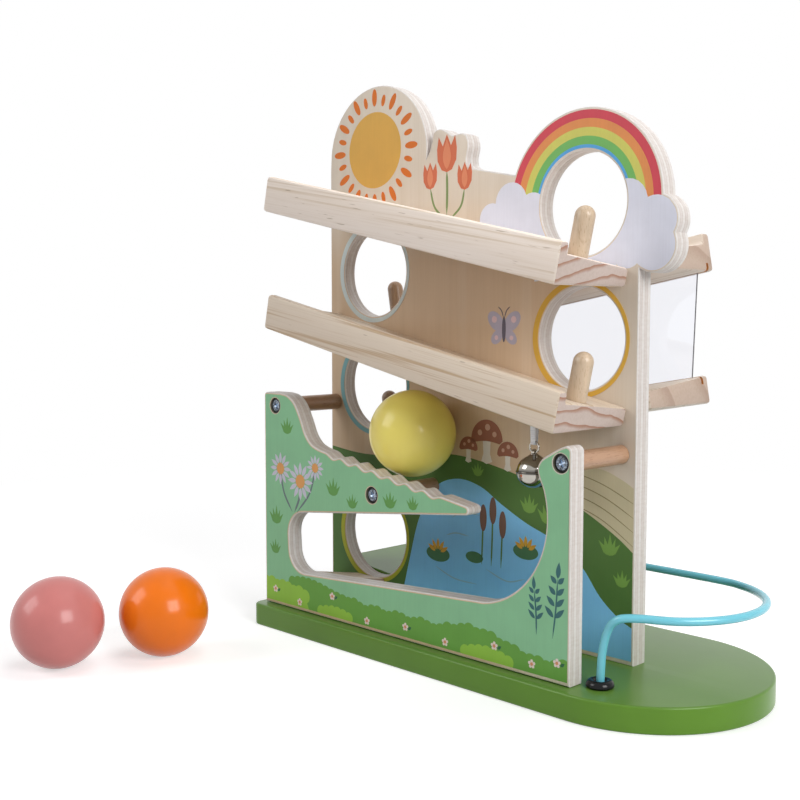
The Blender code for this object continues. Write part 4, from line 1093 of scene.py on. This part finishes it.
black_plastic = paint_finish("black_plastic", tint(8, 10, 13), 0.16, 0.0, 0.26)
for node, way in (("grommet_front", (0.0, 0.0, 1.0)), ("grommet_back", (0.1047, 0.0, 0.9945))):
    foot, tall, radius = shaft(node, way)
    middle, half = (radius + GROMMET_BORE) / 2, (radius - GROMMET_BORE) / 2
    dome = [(middle + half * x, 0.0005 + (tall - 0.0003) * z) for x, z in arc(0.0, 0.0, 1.0, 180, 0, 14)]
    profile = [(GROMMET_BORE, 0.0)] + dome + [(radius - 0.0003, 0.0), (GROMMET_BORE, 0.0)]
    grommet = turned_mesh(node, profile, 48, aim(foot, way))
    add_piece(node + "_moulded", grommet, black_plastic, nodes=[node])

# Bell: two pressed nickel halves rolled together at a seam, slit below, with a loose steel pellet. It hangs
# by a wire loop on a ring and a doubled satin ribbon.
BELL_RADIUS = 0.0077
BELL_WIDE = 0.0083
BELL_WALL = 0.0006
BELL_WIRE = 0.0005
NICKEL = tint(186, 181, 173)


def ring_mesh(name, centre, axis, reach):
    """A round wire ring about an axis."""
    circle = [(reach + x, z) for x, z in arc(0.0, 0.0, BELL_WIRE, 0, -360, 14)]
    return turned_mesh(name, circle, 40, aim(centre, axis))


def welded(mesh, *others):
    """Join other meshes to a mesh and close up doubled points."""
    joined = bmesh.new()
    for each in (mesh, *others):
        joined.from_mesh(each)
    bmesh.ops.remove_doubles(joined, verts=joined.verts, dist=1e-7)
    joined.to_mesh(mesh)
    joined.free()
    return mesh


nickel = paint_finish("nickel", NICKEL, 0.07, metal=1.0)
shell_nickel = paint_finish("shell_nickel", NICKEL, 0.07, metal=1.0)
dress("bell_pellet", nickel)
shell_low, shell_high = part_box("bell_shell")
bell_at = (shell_low + shell_high) / 2
bell_at.z = shell_low.z + BELL_RADIUS
# From just below the seam upward the nickel is painted darker, darkest in a band at the seam: a painted
# reflection of dark surroundings.
shell_tree = shell_nickel.node_tree
over_seam = axis_part(shell_tree, place_on(shell_tree), "Z")
over_seam = ranged(shell_tree, over_seam, bell_at.z - 0.001, bell_at.z + 0.003)
painted_seam_reflection = [(0.12, WHITE), (0.22, (0.16,) * 3), (0.5, (0.3,) * 3), (0.8, (0.75,) * 3)]
recolour(shell_nickel, darkened(shell_tree, colour_of(shell_nickel), over_seam, painted_seam_reflection))
crown = smooth([(0.0, 0.0088), (0.0012, 0.0087), (0.0020, 0.0082), (0.0030, 0.0075), (0.0046, 0.0065),
                (0.0064, 0.0050), (0.0077, 0.0029), (0.0082, 0.0008)], 5)
seam = [(0.0085, 0.00055), (0.0086, 0.0002), (0.0085, -0.00015), (BELL_WIDE, -0.0005)]
bowl_angles = [QUARTER * i / 16 for i in range(1, 16)]
bowl = [(BELL_WIDE * math.cos(a), -BELL_RADIUS * math.sin(a)) for a in bowl_angles]
outside = crown + seam + bowl + [(0.0, -BELL_RADIUS)]
inside = [(max(0.0, r - BELL_WALL), h - math.copysign(BELL_WALL, h)) for r, h in crown[6:] + bowl]
inside = [(0.0, inside[0][1] + 0.0002)] + inside + [(0.0, BELL_WALL - BELL_RADIUS)]
shell = turned_mesh("bell_shell", outside, 64, Matrix.Translation(bell_at))
hollow = turned_mesh("bell_hollow", inside, 48, Matrix.Translation(bell_at))
slit_outline = [(-0.0053, -0.0150), (0.0053, -0.0150), (0.0053, -0.0025), (-0.0053, -0.0025)]
slit = sawn_mesh("bell_slit", [slit_outline], [[(0.0, -0.0007), (0.0, 0.0007)]], 0.0)
slit.transform(Matrix.Translation(bell_at))
eyes = [turned_mesh("bell_eye", [(0.0, 0.009), (0.0014, 0.009), (0.0014, 0.003), (0.0, 0.003)], 24,
                    aim(bell_at, (0.62 * side, 0.0, -0.78))) for side in (-1, 1)]
shell = round_off(carved(shell, [hollow, slit, *eyes], "DIFFERENCE"))
loop_at = (bell_at.x, bell_at.y, shell_high.z - 0.0021)
shell = welded(shell, ring_mesh("bell_loop", loop_at, (1.0, 0.0, 0.0), 0.0016))
add_piece("bell_pressed", shell, shell_nickel, body="bell", nodes=["bell_shell"])
ring_at = sum(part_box("bell_ring"), Vector()) / 2
ring = welded(ring_mesh("bell_ring_bent", ring_at, (0.0, 1.0, 0.0), 0.0026))
add_piece("bell_ring_bent", ring, nickel, body="bell", nodes=["bell_ring"])

# Bell ribbon: white satin, doubled round the ring and glued into its plug under the lower front track.
STRAP_BEND = 0.0010
STRAP_THICK = 0.00026
STRAP_ACROSS = (-1.0, -0.6, -0.2, 0.2, 0.6, 1.0)
satin, satin_tree, satin_shader = new_finish("white_ribbon")
ribs = texture(satin_tree, (300.0, 300.0, 5200.0), 1.0)
fill(satin_tree, satin_shader,
     {"Base Color": ramp(satin_tree, ribs, [(0.3, tint(214, 217, 222)), (0.65, tint(242, 243, 246))]),
      "Roughness": 0.38, "Sheen Weight": 0.3, "Normal": relief(satin_tree, ribs, 0.00003)})
strap_low, strap_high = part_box("bell_ribbon")
strap_x, strap_y = (strap_low.x + strap_high.x) / 2, (strap_low.y + strap_high.y) / 2
bend = strap_low.z + 0.0013
strap_top = strap_high.z + 0.0012
strap_side = [(-0.0013, strap_top), (-0.0012, (strap_top + bend) / 2), (-STRAP_BEND, bend + 0.001)]
strap_line = strap_side + arc(0.0, bend, STRAP_BEND, 180, 360, 8) + [(-y, z) for y, z in reversed(strap_side)]
rows = []
for y, z in smooth(strap_line, 3):
    along = (z - bend) / (strap_top - bend)
    half = 0.0013 + 0.0003 * max(0.0, along)
    cup = 0.00018 * (1 if y > 0 else -1)
    rows.append([(strap_x + half * t, strap_y + y + cup * (1 - t * t), z) for t in STRAP_ACROSS])
wide = len(STRAP_ACROSS)
starts = [wide * i + k for i in range(len(rows) - 1) for k in range(wide - 1)]
ribbon = bpy.data.meshes.new("ribbon")
ribbon.from_pydata([spot for row in rows for spot in row], [],
                   [(v, v + 1, v + wide + 1, v + wide) for v in starts])
ribbon_sheet = bpy.data.objects.new("ribbon", ribbon)
scene.collection.objects.link(ribbon_sheet)
thick = ribbon_sheet.modifiers.new("thick", "SOLIDIFY")
thick.thickness = STRAP_THICK
thick.offset = 0.0
ribbon = round_off(applied(ribbon_sheet), 60)
ribbon.materials.append(satin)
strap = bpy.data.objects.new("bell_ribbon_folded", ribbon)
scene.collection.objects.link(strap)
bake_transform(strap)
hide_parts("bell_ribbon")

# Balls: turned wooden balls dipped in glossy toy paint. One rests on the ramp and two lie on the floor in
# front of the run; none is fixed.
for ball, colour in (("yellow_ball", tint(255, 235, 119)), ("pink_ball", tint(211, 128, 124)),
                     ("orange_ball", tint(245, 120, 9))):
    low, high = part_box(ball)
    radius = (high.x - low.x) / 2
    profile = arc(0.0, 0.0, radius, 90, -90, 48)
    mesh = turned_mesh(ball + "_turned", profile, 96, Matrix.Translation((low + high) / 2))
    paint = ball.replace("ball", "paint")
    finish = paint_finish(paint, colour, 0.36, 0.5, 0.1)
    add_piece(ball + "_turned", mesh, finish, body=ball, nodes=[ball])
